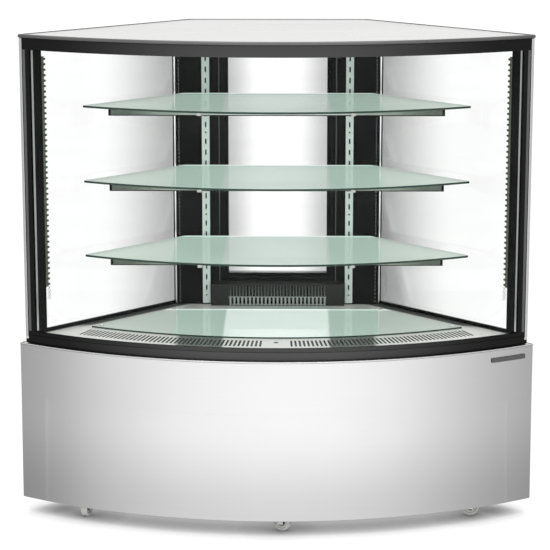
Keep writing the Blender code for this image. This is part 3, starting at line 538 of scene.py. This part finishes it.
def glass(name, tint, milk=0.0, milk_colour=(0.8, 0.9, 0.86), gloss=1.0, smear=0.02):
    """Flat glass: what is behind shows unbent, the surface mirrors by its angle, and milk is the
    pale veil of light that its faces send back."""
    g = Graph(name)
    wipes = g.noise((3.0, 3.0, 6.0), 4.0, 0.6)
    clear = g.add("BsdfTransparent", {"Color": tint}).outputs[0]
    veil = g.add("BsdfDiffuse", {"Color": milk_colour}).outputs[0]
    return layered(g, g.mix_surfaces(g.remap(wipes, 0.45, 0.8, milk, milk + smear), clear, veil),
                   gloss)


def frit(name, middle, end):
    """Black ceramic print fired onto the bent glass. Its colour is palest at the middle of the
    curve, a painted reflection of the front light.
    """
    g = Graph(name)
    wipes = g.noise((4.0, 4.0, 9.0), 4.0)
    # Painted reflection: the print is paler toward the middle of the curve.
    share = across(g, 0.10, 0.62, 0.0, 1.0)
    tone = g.blend(share, (middle,) * 3, (end,) * 3)
    worn = g.blend(share, (middle * 1.15,) * 3, (end * 1.6,) * 3)
    surface = g.principled(Base_Color=g.blend(g.remap(wipes, 0.4, 0.8, 0.0, 0.3), tone, worn),
                           Roughness=g.remap(wipes, 0.3, 0.8, 0.12, 0.24),
                           Specular_IOR_Level=0.13)
    return g.finish(surface)


def light_strip():
    """The lit strips of the plain model. Finer lamp boards and covers stand in for all of them."""
    g = Graph("light_strip")
    ripple = g.noise((40, 40, 40), 2.0)
    tone = g.blend(g.remap(ripple, 0.3, 0.7, 0.0, 1.0), (0.95, 1.0, 0.86), (1.0, 1.0, 1.0))
    return g.finish(g.emission(tone, 1.6))


def lamp_bar():
    """The cover of a shelf lamp, bright in the middle and dull green at its ends."""
    g = Graph("shelf_lamp")
    ripple = g.noise((60, 60, 60), 2.0)
    outer = g.blend(across(g, 0.28, 0.42, 0.0, 1.0), (0.42, 0.50, 0.42), (0.17, 0.21, 0.17))
    colour = g.blend(across(g, 0.08, 0.30, 0.0, 1.0), (0.82, 0.92, 0.87), outer)
    return g.finish(g.emission(colour, g.remap(ripple, 0.3, 0.7, 0.62, 0.78)))


FINISHES = {
    # The base steel keeps 0.74 of its brightness near the floor, a painted shade.
    "brushed_steel": brushed_metal("brushed_steel", (0.625, 0.625, 0.625), 0.34, foot=0.74),
    "polished_steel": brushed_metal("polished_steel", (0.74, 0.75, 0.74), 0.17,
                                    (600, 6, 6), 0.04, 0.0),
    "galvanised_steel": galvanised(),
    "black_metal": coated_metal("black_metal", (0.0030, 0.0030, 0.0033), 0.26, 0.045,
                                (0.010, 0.010, 0.011)),
    "dark_trim": coated_metal("dark_trim", (0.11, 0.11, 0.11), 0.30, 0.5, (0.2, 0.2, 0.2), 0.5),
    "top_laminate": laminate(),
    "clear_glass": glass("clear_glass", (0.995, 0.998, 0.996), smear=0.004, gloss=0.12),
    "shelf_glass": painted_glow_glass("shelf_glass", 0.70, 0.57, 0.53, 0.60, 0.40, 0.556),
    "standard_paint": coated_metal("standard_paint", (0.80, 0.88, 0.84), 0.30, 0.6,
                                   (0.66, 0.72, 0.69)),
    "light_strip": light_strip(),
    "insulation": moulded("insulation", (0.78, 0.79, 0.78), 0.45, 0.4, (0.6, 0.6, 0.58), 400),
    "aluminium": brushed_metal("aluminium", (0.70, 0.71, 0.72), 0.30, (8, 8, 900)),
    "copper": brushed_metal("copper", (0.72, 0.36, 0.22), 0.28, (300, 300, 30), 0.08, 0.0),
    "compressor_black": coated_metal("compressor_black", (0.02, 0.02, 0.021), 0.40, 0.4),
    "black_plastic": moulded("black_plastic", (0.022, 0.022, 0.022), 0.42),
    "rubber_seal": moulded("rubber_seal", (0.03, 0.03, 0.03), 0.65, 0.3),
    "nylon": moulded("nylon", (0.60, 0.60, 0.57), 0.42, 0.5, (0.42, 0.41, 0.37), 700),
}
# The deck's glass plate glows with the same painted light, its levels set by place.
DECK_GLASS = painted_glow_glass("deck_glass", 0.80, 0.86, 0.50, 0.47, 0.60, 0.505)
EDGE_GREEN = glass("glass_edge", (0.05, 0.12, 0.09), 0.80, (0.030, 0.058, 0.045), 0.5)
# Both black prints carry a painted reflection, palest at the middle of the curve.
FRIT = frit("black_border", 0.052, 0.006)
RAIL = frit("black_rail", 0.064, 0.006)
FRIT_STRIPE = frit("border_stripe", 0.10, 0.10)
# Painted shade in the side panes, darker toward the rear pillars.
SIDE_GLASS = shaded_glass("side_glass", CAD_LOW.y + 0.39, CAD_LOW.y + 0.64, 0.62, "Y")
TOP_EDGE = brushed_metal("top_edge", (0.20, 0.20, 0.20), 0.32, (8, 8, 600), 0.05)
SILVER = brushed_metal("bright_trim", (0.78, 0.78, 0.79), 0.25, (700, 700, 5), 0.04, 0.0)
LAMP_CHIP = moulded("lamp_chip", (0.045, 0.060, 0.030), 0.45, 0.4, (0.09, 0.11, 0.06), 500)
LAMP_BOARD = moulded("lamp_board", (0.13, 0.155, 0.10), 0.5, 0.4, (0.20, 0.225, 0.16), 500)
SHELF_LAMP = lamp_bar()
LEAD = moulded("lamp_lead", (0.30, 0.32, 0.28), 0.5, 0.4, (0.22, 0.24, 0.2), 600)
DUCT_PALE = coated_metal("pale_edge", (0.46, 0.50, 0.47), 0.35, 0.5, (0.36, 0.39, 0.37))
DUCT_DIM = coated_metal("dim_edge", (0.19, 0.21, 0.20), 0.35, 0.4, (0.24, 0.26, 0.25))
DECK_STRIP = coated_metal("pale_deck_strip", (0.72, 0.78, 0.74), 0.35, 0.5, (0.60, 0.64, 0.61))
OWN_FINISH = {
    "left_side_glass": SIDE_GLASS,
    "right_side_glass": SIDE_GLASS,
    # Painted shade in the door's pane, darker toward its stiles.
    "door_glass": shaded_glass("door_glass", 0.050, 0.155, 0.72, "X"),
    "deck_pan": deck_steel(),
    "air_duct_cover": coated_metal("duct_black", (0.018, 0.018, 0.017), 0.42, 0.25,
                                   (0.035, 0.035, 0.033)),
}


def dress_cad():
    """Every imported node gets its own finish, or else that of its slot."""
    for row in frame["record"]["subparts"]:
        mesh = frame["nodes"][row["node"]].data
        mesh.materials.clear()
        mesh.materials.append(OWN_FINISH.get(row["node"], FINISHES[row["material_slot"]]))


# ---- Base ----


def base_front():
    """The curved front sheet, with a folded hem at its foot and a rolled flange at its top."""
    foot = low("front_panel").z
    roll, hem, flange = 0.003, 0.014, 0.020
    crown = [(roll * (1 - math.sin(turn)), BASE_TOP - roll * (1 - math.cos(turn)))
             for turn in [math.pi / 2 * step / 4 for step in range(5)]]
    profile = [(0.0, foot + 0.0015), *crown, (flange, BASE_TOP), (flange, BASE_TOP - 0.0025),
               (0.0045, BASE_TOP - 0.0025), (0.002, BASE_TOP - 0.005), (0.002, foot + 0.002),
               (hem, foot + 0.002), (hem, foot), (0.0015, foot)]
    shape = bmesh.new()
    arc_sweep(shape, profile, 0.0)
    add_piece("curved_base_front", shape, FINISHES["brushed_steel"], stands_for=["front_panel"])


def name_plate():
    """A small blank plate at the right of the base front."""
    face, back = -0.0009, -0.0001
    from_corner = 0.083
    width, height = 0.110, 0.0125
    foot = BASE_TOP - 0.037
    steps = 8
    middle = half_angle(0, 0) - from_corner / ARC_RADIUS
    outline = ((face, foot), (face, foot + height), (back, foot + height), (back, foot))
    shape = bmesh.new()
    rings = []
    for step in range(steps + 1):
        turn = middle + (step / steps - 0.5) * width / ARC_RADIUS
        rings.append([shape.verts.new(place(*on_arc(gap, turn), z)) for gap, z in outline])
    skin(shape, rings)
    plate = add_piece("blank_name_plate", shape, FINISHES["dark_trim"])
    soften(plate, 0.0003)


# ---- Glass case ----


def front_glass():
    """The bent pane, with its fired black border and a bright channel on each upright edge."""
    outer, inner = GLASS_GAP, GLASS_GAP + GLASS_THICK
    edge = 0.0006
    levels = [GLASS_LOW + edge, SILL_BAND, BAND_LOW, GLASS_TOP - edge]
    profile = [(outer, z) for z in levels] + [(outer + edge, GLASS_TOP), (inner - edge, GLASS_TOP)]
    profile += [(inner, z) for z in levels[::-1]] + [(inner - edge, GLASS_LOW),
                                                     (outer + edge, GLASS_LOW)]
    shape = bmesh.new()
    offsets = [0.0, EDGE_CHANNEL, 0.0100, 0.0185, SIDE_BAND]
    faces = arc_sweep(shape, profile, CASE_GAP, offsets)
    per_step = len(profile)
    for index, face in enumerate(faces):
        step = index // per_step
        near = min(step, FINE - 1 - step)
        middle = face.calc_center_median().z
        border = middle > BAND_LOW or middle < SILL_BAND
        if near < len(offsets) - 1:
            face.material_index = 2 if near == 2 and not border else 1
        elif border:
            face.material_index = 1
    add_piece("curved_front_glass", shape, [FINISHES["clear_glass"], FRIT, FRIT_STRIPE],
              stands_for=["front_glass"])
    for side, word in SIDES:
        shape = bmesh.new()
        points = []
        for gap, offset in ((outer - 0.0008, 0.0), (outer - 0.0008, EDGE_CHANNEL),
                            (outer + 0.0002, EDGE_CHANNEL), (outer + 0.0002, 0.0)):
            turn = half_angle(gap, CASE_GAP - 0.0006) - offset / (ARC_RADIUS - gap)
            x, depth = on_arc(gap, turn)
            points.append((side * x, depth))
        slab(shape, points, SILL_BAND - 0.016, GLASS_TOP - 0.0005)
        channel = add_piece(f"{word}_glass_edge_channel", shape, SILVER)
        soften(channel, 0.00035)
        cap = bmesh.new()
        x, depth = corner(outer, CASE_GAP)
        rounded_box(cap, place(side * (x - 0.0075), depth - 0.0005, SILL_BAND - 0.0195),
                    (0.013, 0.008, 0.007), 0.002)
        add_piece(f"{word}_corner_cap", cap, FINISHES["nylon"])


def rails():
    """The black rails that the glass stands in."""
    foot = low("bottom_rail").z
    top = high("bottom_rail").z
    nose = 0.0022
    part = nose * 0.3
    profile = [(GLASS_GAP, foot + nose), (GLASS_GAP, top - nose), (GLASS_GAP + part, top - part),
               (GLASS_GAP + nose, top), (RAIL_BACK - 0.001, top), (RAIL_BACK, top - 0.001),
               (RAIL_BACK, foot), (GLASS_GAP + nose, foot), (GLASS_GAP + part, foot + part)]
    shape = bmesh.new()
    arc_sweep(shape, profile, CASE_GAP)
    add_piece("curved_bottom_rail", shape, RAIL, stands_for=["bottom_rail"])
    top = high("left_bottom_rail").z
    end = WALL_FRONT - 0.0003
    inner = 0.020
    groove = top - 0.011

    def front_end(gap):
        return corner(RAIL_BACK + 0.0003, gap)[1]

    for side, word in SIDES:
        profile = [(CASE_GAP, foot), (CASE_GAP, top), (inner - 0.0012, top), (inner, top - 0.0012),
                   (inner, groove + 0.0016), (inner - 0.0012, groove + 0.0012),
                   (inner - 0.0012, groove - 0.0012), (inner, groove - 0.0016), (inner, foot)]
        shape = bmesh.new()
        side_sweep(shape, side, profile, front_end, end)
        add_piece(f"{word}_glass_rail", shape, FINISHES["black_metal"],
                  stands_for=[f"{word}_bottom_rail"])
        shape = bmesh.new()
        line = [(inner - 0.0011, groove - 0.0009), (inner - 0.0011, groove + 0.0009),
                (inner - 0.0002, groove + 0.0007), (inner - 0.0002, groove - 0.0007)]
        side_sweep(shape, side, line, lambda gap: front_end(gap) + 0.001, end - 0.001)
        add_piece(f"{word}_rail_bead", shape, FINISHES["dark_trim"])


def front_posts():
    """Each front post with its bright bead and the lamp strip behind it."""
    foot, top = low("left_front_post").z, high("left_front_post").z
    post_depth = 0.030
    back = corner(GLASS_GAP + GLASS_THICK, CASE_GAP)[1] + post_depth
    bead_at = corner(GLASS_GAP + GLASS_THICK, POST_INNER_GAP)[1] + 0.0105
    for side, word in SIDES:
        soften(frame["nodes"][f"{word}_front_post"], 0.0008, weld=True)
        shape = bmesh.new()
        bead = [(POST_INNER_GAP + 0.0012, foot + 0.001), (POST_INNER_GAP + 0.0012, top - 0.001),
                (POST_INNER_GAP - 0.0002, top - 0.001), (POST_INNER_GAP - 0.0002, foot + 0.001)]
        side_sweep(shape, side, bead, bead_at, bead_at + 0.0050)
        soften(add_piece(f"{word}_post_bead", shape, SILVER), 0.0003)
        lamp_strip(side, word, back)


def lamp_strip(side, word, back):
    """A row of dark lamp chips along a narrow board beside the post, with its top clip and the
    two curly leads at its foot."""
    node = f"{word}_led_strip"
    lead, top = low(node).z, high(node).z
    foot = lead + 0.036
    gap = CASE_GAP + 0.0053
    board = bmesh.new()
    profile = [(gap, foot), (gap, top), (gap + 0.0012, top), (gap + 0.0012, foot)]
    side_sweep(board, side, profile, back + 0.0012, back + 0.0150)
    add_piece(f"{word}_lamp_board", board, LAMP_BOARD, stands_for=[node])
    chips = bmesh.new()
    count = 43
    pitch = (top - foot) / count
    inward = Vector((-side, -1, 0)).normalized()
    depth = back + 0.0155
    for index in range(count):
        centre = place(side * side_x(gap + 0.0014, depth), depth, foot + pitch * (index + 0.5))
        rounded_box(chips, (0, 0, 0), (0.0090, 0.0062, 0.0022), 0.0028, aim(centre, inward))
    add_piece(f"{word}_lamp_chips", chips, LAMP_CHIP)
    leads = bmesh.new()
    steps = 48
    curl, turn_per_step = 0.0022, 0.42
    for phase, start in ((0.0, 0.0150), (2.4, 0.01788)):
        path = []
        for step in range(steps + 1):
            depth = back + start + curl * math.sin(phase + step * turn_per_step)
            path.append(place(side * side_x(gap + 0.0012, depth), depth,
                              foot + (lead - foot) * step / steps))
        wire(leads, path, 0.0008)
    add_piece(f"{word}_lamp_leads", leads, LEAD)
    clip = bmesh.new()
    tip = place(side * side_x(gap, back + 0.026), back + 0.026, BAND_LOW - 0.0004)
    outline = [(side * 0.001, 0), (-side * 0.008, 0), (-side * 0.001, -0.013)]
    rings = [[clip.verts.new(tip + Vector((u, offset, v))) for u, v in outline]
             for offset in (0, 0.0015)]
    skin(clip, rings)
    add_piece(f"{word}_lamp_clip", clip, FINISHES["black_plastic"])


def top():
    """The light top with its grey edge band, and the dark rounded trim along the curved front."""
    trim_back, board_front = 0.013, 0.0133
    lip = 0.0040  # width of the edge band
    board_inset = lip + 0.0002
    foot, crown = low("top_trim").z, high("top_trim").z
    middle, half = (foot + crown) / 2, (crown - foot) / 2
    nose = [(0.005 + half * (1 - math.cos(turn)), middle + half * math.sin(turn))
            for turn in [math.pi / 2 * (step / 6 * 2 - 1) for step in range(7)]]
    profile = nose + [(trim_back, crown), (trim_back, foot)]
    shape = bmesh.new()
    arc_sweep(shape, profile, TRIM_SIDE)
    add_piece("rounded_top_trim", shape, FINISHES["dark_trim"], stands_for=["top_trim"])
    shape = bmesh.new()
    slab(shape, plan(board_front, TRIM_SIDE + board_inset, WALL_BACK - board_inset), foot,
         crown - 0.0018)
    panel = add_piece("top_board", shape, FINISHES["top_laminate"], stands_for=["top_panel"])
    soften(panel, 0.0006)
    for side, word in SIDES:
        shape = bmesh.new()
        profile = [(TRIM_SIDE, foot), (TRIM_SIDE, crown), (TRIM_SIDE + lip, crown),
                   (TRIM_SIDE + lip, foot)]
        side_sweep(shape, side, profile, lambda gap: corner(board_front, gap)[1], WALL_BACK)
        soften(add_piece(f"{word}_top_edge", shape, TOP_EDGE), 0.0004)
    edge = side_x(TRIM_SIDE + board_inset, WALL_BACK)
    shape = bmesh.new()
    block(shape, (-edge, WALL_BACK - lip, foot), (edge, WALL_BACK, crown))
    soften(add_piece("rear_top_edge", shape, TOP_EDGE), 0.0004)


def rear_wall():
    """Bright beads, the row of rivets and the seams on the inside of the rear pillars."""
    foot, crown = DECK_TOP + 0.004, BAND_LOW - 0.001
    face = WALL_FRONT
    edge = side_x(CASE_GAP, WALL_FRONT)
    rivets = bmesh.new()
    seams = bmesh.new()
    rivet_count = 70
    for side, word in SIDES:
        shape = bmesh.new()
        first, second = sorted((side * (edge - 0.0040), side * (edge - 0.0084)))
        block(shape, (first, face - 0.0022, foot), (second, face + 0.0002, crown))
        soften(add_piece(f"{word}_pillar_bead", shape, SILVER), 0.0004)
        for index in range(rivet_count):
            z = foot + (crown - foot) * (index + 0.5) / rivet_count
            rounded_box(rivets, place(side * (edge - 0.0180), face - 0.0003, z),
                        (0.0022, 0.0012, 0.0034), 0.0006)
        line = sorted((side * 0.1685, side * 0.1705))
        block(seams, (line[0], face - 0.0006, foot), (line[1], face + 0.0002, crown))
        cross = sorted((side * 0.1705, side * 0.196))
        block(seams, (cross[0], face - 0.0006, crown - 0.040),
              (cross[1], face + 0.0002, crown - 0.0385))
    add_piece("pillar_rivets", rivets, FINISHES["galvanised_steel"])
    add_piece("pillar_seams", seams, FINISHES["dark_trim"])
    soften(frame["nodes"]["rear_frame"], 0.0008, weld=True)


# ---- Shelves and deck ----


def glass_shelf(name, node, front_gap, side_gap, back, radius, finish):
    """A glass plate with ground edges, darker and greener than its faces."""
    bottom, crown = low(node).z, high(node).z
    outline = round_corners(plan(front_gap, side_gap, back), radius)
    shape = bmesh.new()
    for face in slab(shape, outline, bottom, crown):
        face.material_index = 1
    pane = add_piece(name, shape, [finish, EDGE_GREEN], stands_for=[node],
                     smooth=40)
    soften(pane, 0.0007, 2, 50)


def shelf_fittings(word):
    """The lamp under the front bar and the bright clip on the tip of each arm."""
    carrier = f"{word}_shelf_carrier"
    soften(frame["nodes"][carrier], 0.0005, weld=True)
    crown = high(carrier).z
    tips = bmesh.new()
    for side in (-1, 1):
        x = side * ARM_X
        rounded_box(tips, place(x, 0.190, crown - 0.0035), (0.013, 0.010, 0.0065), 0.002)
        rounded_box(tips, place(x, 0.1835, crown - 0.001), (0.009, 0.004, 0.0045), 0.0012)
    add_piece(f"{word}_arm_clips", tips, FINISHES["nylon"])
    lamp = bmesh.new()
    rounded_box(lamp, place(0, 0.2735, crown - 0.0100), (0.906, 0.0022, 0.0130), 0.0008)
    add_piece(f"{word}_shelf_lamp", lamp, SHELF_LAMP)


def deck():
    """The glass plate on the deck, with a bright clip near each of its corners."""
    back = depth_of(high("deck_glass").y)
    glass_shelf("deck_plate", "deck_glass", DECK_GLASS_GAP, DECK_GLASS_SIDE, back, 0.010, DECK_GLASS)
    crown = high("deck_glass").z
    front_x, front_depth = corner(DECK_GLASS_GAP, DECK_GLASS_SIDE)
    rear_x = side_x(DECK_GLASS_SIDE, back)
    clips = bmesh.new()
    for side in (-1, 1):
        for x, depth in ((front_x - 0.028, front_depth + 0.004), (rear_x - 0.016, back - 0.006)):
            rounded_box(clips, place(side * x, depth, crown - 0.001), (0.012, 0.010, 0.008), 0.003)
    add_piece("deck_plate_clips", clips, SILVER)


def painted_slot_shadow():
    """A black plate right under the deck's ring of slots: painted shade that makes each slot look dark."""
    front_gap, back_gap, side_gap = 0.090, 0.168, 0.026
    under = low("deck_pan").z + 0.0003
    foot = under - 0.004
    shape = bmesh.new()
    arc_sweep(shape, [(front_gap, foot), (front_gap, under), (back_gap, under), (back_gap, foot)],
              side_gap)
    add_piece("painted_slot_shadow", shape, FINISHES["compressor_black"])


def duct_face():
    """Pale edges of the louvres in the air duct cover: thin slits above, a slotted row below."""
    face = depth_of(low("air_duct_cover").y)
    foot = low("air_duct_cover").z
    slits = bmesh.new()
    slit_count, slit_pitch = 31, 0.0092
    for index in range(slit_count):
        x = (index - slit_count // 2) * slit_pitch
        rings = []
        for z, half in ((foot + 0.029, 0.0009), (foot + 0.060, 0.0003)):
            rings.append([slits.verts.new(place(x + u, face + v, z))
                          for u, v in ((-half, -0.0004), (half, -0.0004), (half, 0.002),
                                       (-half, 0.002))])
        skin(slits, rings)
    add_piece("duct_slit_edges", slits, DUCT_DIM)
    row = bmesh.new()
    slot_count, slot_pitch, slot_half = 25, 0.0115, 0.0026
    row_top = foot + 0.0255
    for index in range(slot_count):
        x = (index - slot_count // 2) * slot_pitch
        block(row, (x - slot_half, face - 0.0005, foot + 0.0012),
              (x + slot_half, face + 0.0002, row_top))
    reach = slot_count / 2 * slot_pitch
    block(row, (-reach, face - 0.0005, row_top), (reach, face + 0.0002, row_top + 0.002))
    add_piece("duct_slot_edges", row, DUCT_PALE)
    shape = bmesh.new()
    block(shape, (-0.150, face - 0.0560, foot + 0.0003), (0.150, face - 0.004, foot + 0.0009))
    add_piece("deck_rear_strip", shape, DECK_STRIP)


def castor_wheels():
    """Nylon wheels with round shoulders and a sunk dark hub."""
    for joint in frame["joints"]:
        if not joint["name"].endswith("_castor_roll"):
            continue
        node = joint["child"]
        axis = Vector(joint["axis"])
        middle = (low(node) + high(node)) / 2
        reaches = [(vertex.co - middle).dot(axis) for vertex in frame["nodes"][node].data.vertices]
        half = max(reaches)
        radius = (high(node).z - low(node).z) / 2
        where = aim(middle, axis)
        bore = radius * 0.46
        side = [(bore, half - 0.0022), (radius * 0.66, half - 0.0022),
                (radius * 0.72, half), (radius * 0.93, half), (radius * 0.98, half - 0.0008),
                (radius, half - 0.0030)]
        profile = side + [(r, -height) for r, height in side[::-1]]
        tread = bmesh.new()
        lathe(tread, profile, where)
        add_piece(f"{node}_tread", tread, FINISHES["nylon"], body=node, stands_for=[node])
        hub = bmesh.new()
        rim, axle, sunk = bore - 0.0002, 0.0034, half - 0.0032
        lathe(hub, [(axle, sunk), (rim, sunk), (rim, -sunk), (axle, -sunk)], where)
        add_piece(f"{node}_hub", hub, FINISHES["black_plastic"], body=node)


dress_cad()
base_front()
name_plate()
front_glass()
rails()
front_posts()
top()
rear_wall()
for level in ("lower", "middle", "upper"):
    glass_shelf(f"{level}_glass_shelf", f"{level}_shelf", SHELF_GAP, SHELF_SIDE, SHELF_BACK, 0.006,
                FINISHES["shelf_glass"])
    shelf_fittings(level)
deck()
painted_slot_shadow()
duct_face()
castor_wheels()


# ---- Studio ----


def floor():
    """A white sweep that glows evenly, with a painted shadow close to the case where ambient
    occlusion darkens it.
    """
    g = Graph("studio_floor")
    near = g.add("AmbientOcclusion", {"Distance": 0.108}, samples=16).outputs["AO"]
    shade = g.remap(g.noise((1.5, 1.5, 1.5), 2.0), 0.3, 0.7, 1.0, 1.03)
    # Painted shadow: the floor's glow is cut where nearby geometry occludes it.
    level = g.maths("MULTIPLY", g.remap(near, 0.22, 0.86, 0.12, 1.06), shade)
    material = g.finish(g.emission((1.0, 1.0, 1.0), level))
    shape = bmesh.new()
    reach = 30.0
    shape.faces.new([shape.verts.new((x * reach, y * reach, 0))
                     for x, y in ((-1, -1), (1, -1), (1, 1), (-1, 1))])
    mesh = bpy.data.meshes.new("floor")
    shape.to_mesh(mesh)
    shape.free()
    mesh.materials.append(material)
    ground = bpy.data.objects.new("floor", mesh)
    bpy.context.scene.collection.objects.link(ground)
    ground.visible_glossy = False


def soft_box(name, where, target, size, power):
    light = bpy.data.lights.new(name, "AREA")
    light.shape = "RECTANGLE"
    light.size, light.size_y = size
    light.energy = power
    obj = bpy.data.objects.new(name, light)
    bpy.context.scene.collection.objects.link(obj)
    obj.location = where
    obj.rotation_euler = (Vector(target) - Vector(where)).to_track_quat("-Z", "Y").to_euler()
    obj.visible_camera = False


def backdrop():
    """White to the eye. As a source of light it is a broad front wash, dim at the sides."""
    white = (1.0, 1.0, 1.0)
    g = Graph("studio", bpy.data.worlds.new("studio"))
    direction = g.coordinates.node.outputs["Generated"]
    parts = g.add("SeparateXYZ", {"Vector": direction}).outputs
    turn = g.maths("ARCTAN2", parts["X"], g.maths("MULTIPLY", parts["Y"], -1.0))
    share = g.remap(turn, -math.pi, math.pi, 0.0, 1.0)
    wash = g.add("ValToRGB", {"Fac": share})
    ramp = wash.color_ramp
    ramp.interpolation = "EASE"
    # Degrees round from the front of the case, and the level of the light there.
    stops = [(-180, 0.62), (-110, 0.34), (-86, 0.27), (-63, 0.39), (-46, 0.72), (-25, 0.92),
             (0, 1.0), (12, 1.0), (31, 0.90), (45, 0.69), (59, 0.50), (86, 0.27), (110, 0.34),
             (180, 0.62)]
    for angle, level in stops[1:-1]:
        ramp.elements.new((angle + 180) / 360).color = (level,) * 3 + (1.0,)
    ramp.elements[0].color = ramp.elements[-1].color = (stops[0][1],) * 3 + (1.0,)
    around = g.add("VectorMath", {0: wash.outputs["Color"], 1: (1.6, 1.6, 1.6)},
                   operation="MULTIPLY").outputs[0]
    rise = g.add("MapRange", {"Value": parts["Z"], "From Min": 0.25, "From Max": 0.8},
                 interpolation_type="SMOOTHSTEP").outputs[0]
    light = g.blend(rise, around, white)
    colour = g.blend(g.add("LightPath").outputs["Is Camera Ray"], light, white)
    background = g.add("Background", {"Color": colour, "Strength": 1.0}).outputs[0]
    return g.finish(background, "OutputWorld")


def studio():
    scene = bpy.context.scene
    scene.world = backdrop()
    scene.view_settings.view_transform = "Standard"
    scene.view_settings.look = "None"
    scene.cycles.max_bounces = 12
    scene.cycles.transparent_max_bounces = 32
    scene.cycles.caustics_reflective = False
    soft_box("top_box", (0.0, -0.6, 3.2), (0, 0, 0.9), (1.8, 1.2), 22)


def camera():
    """In front of the case, 1.9 m up, and looking down at it by 11 degrees."""
    data = bpy.data.cameras.new("camera")
    data.lens = 131.66
    data.shift_y = -0.10
    data.clip_end = 200
    obj = bpy.data.objects.new("camera", data)
    bpy.context.scene.collection.objects.link(obj)
    yaw, tilt = math.radians(-0.627), math.radians(11.133)
    obj.location = (0.0553, -5.5, 1.8893)
    obj.rotation_euler = (math.pi / 2 - tilt, 0, -yaw)
    bpy.context.scene.camera = obj


floor()
studio()
camera()
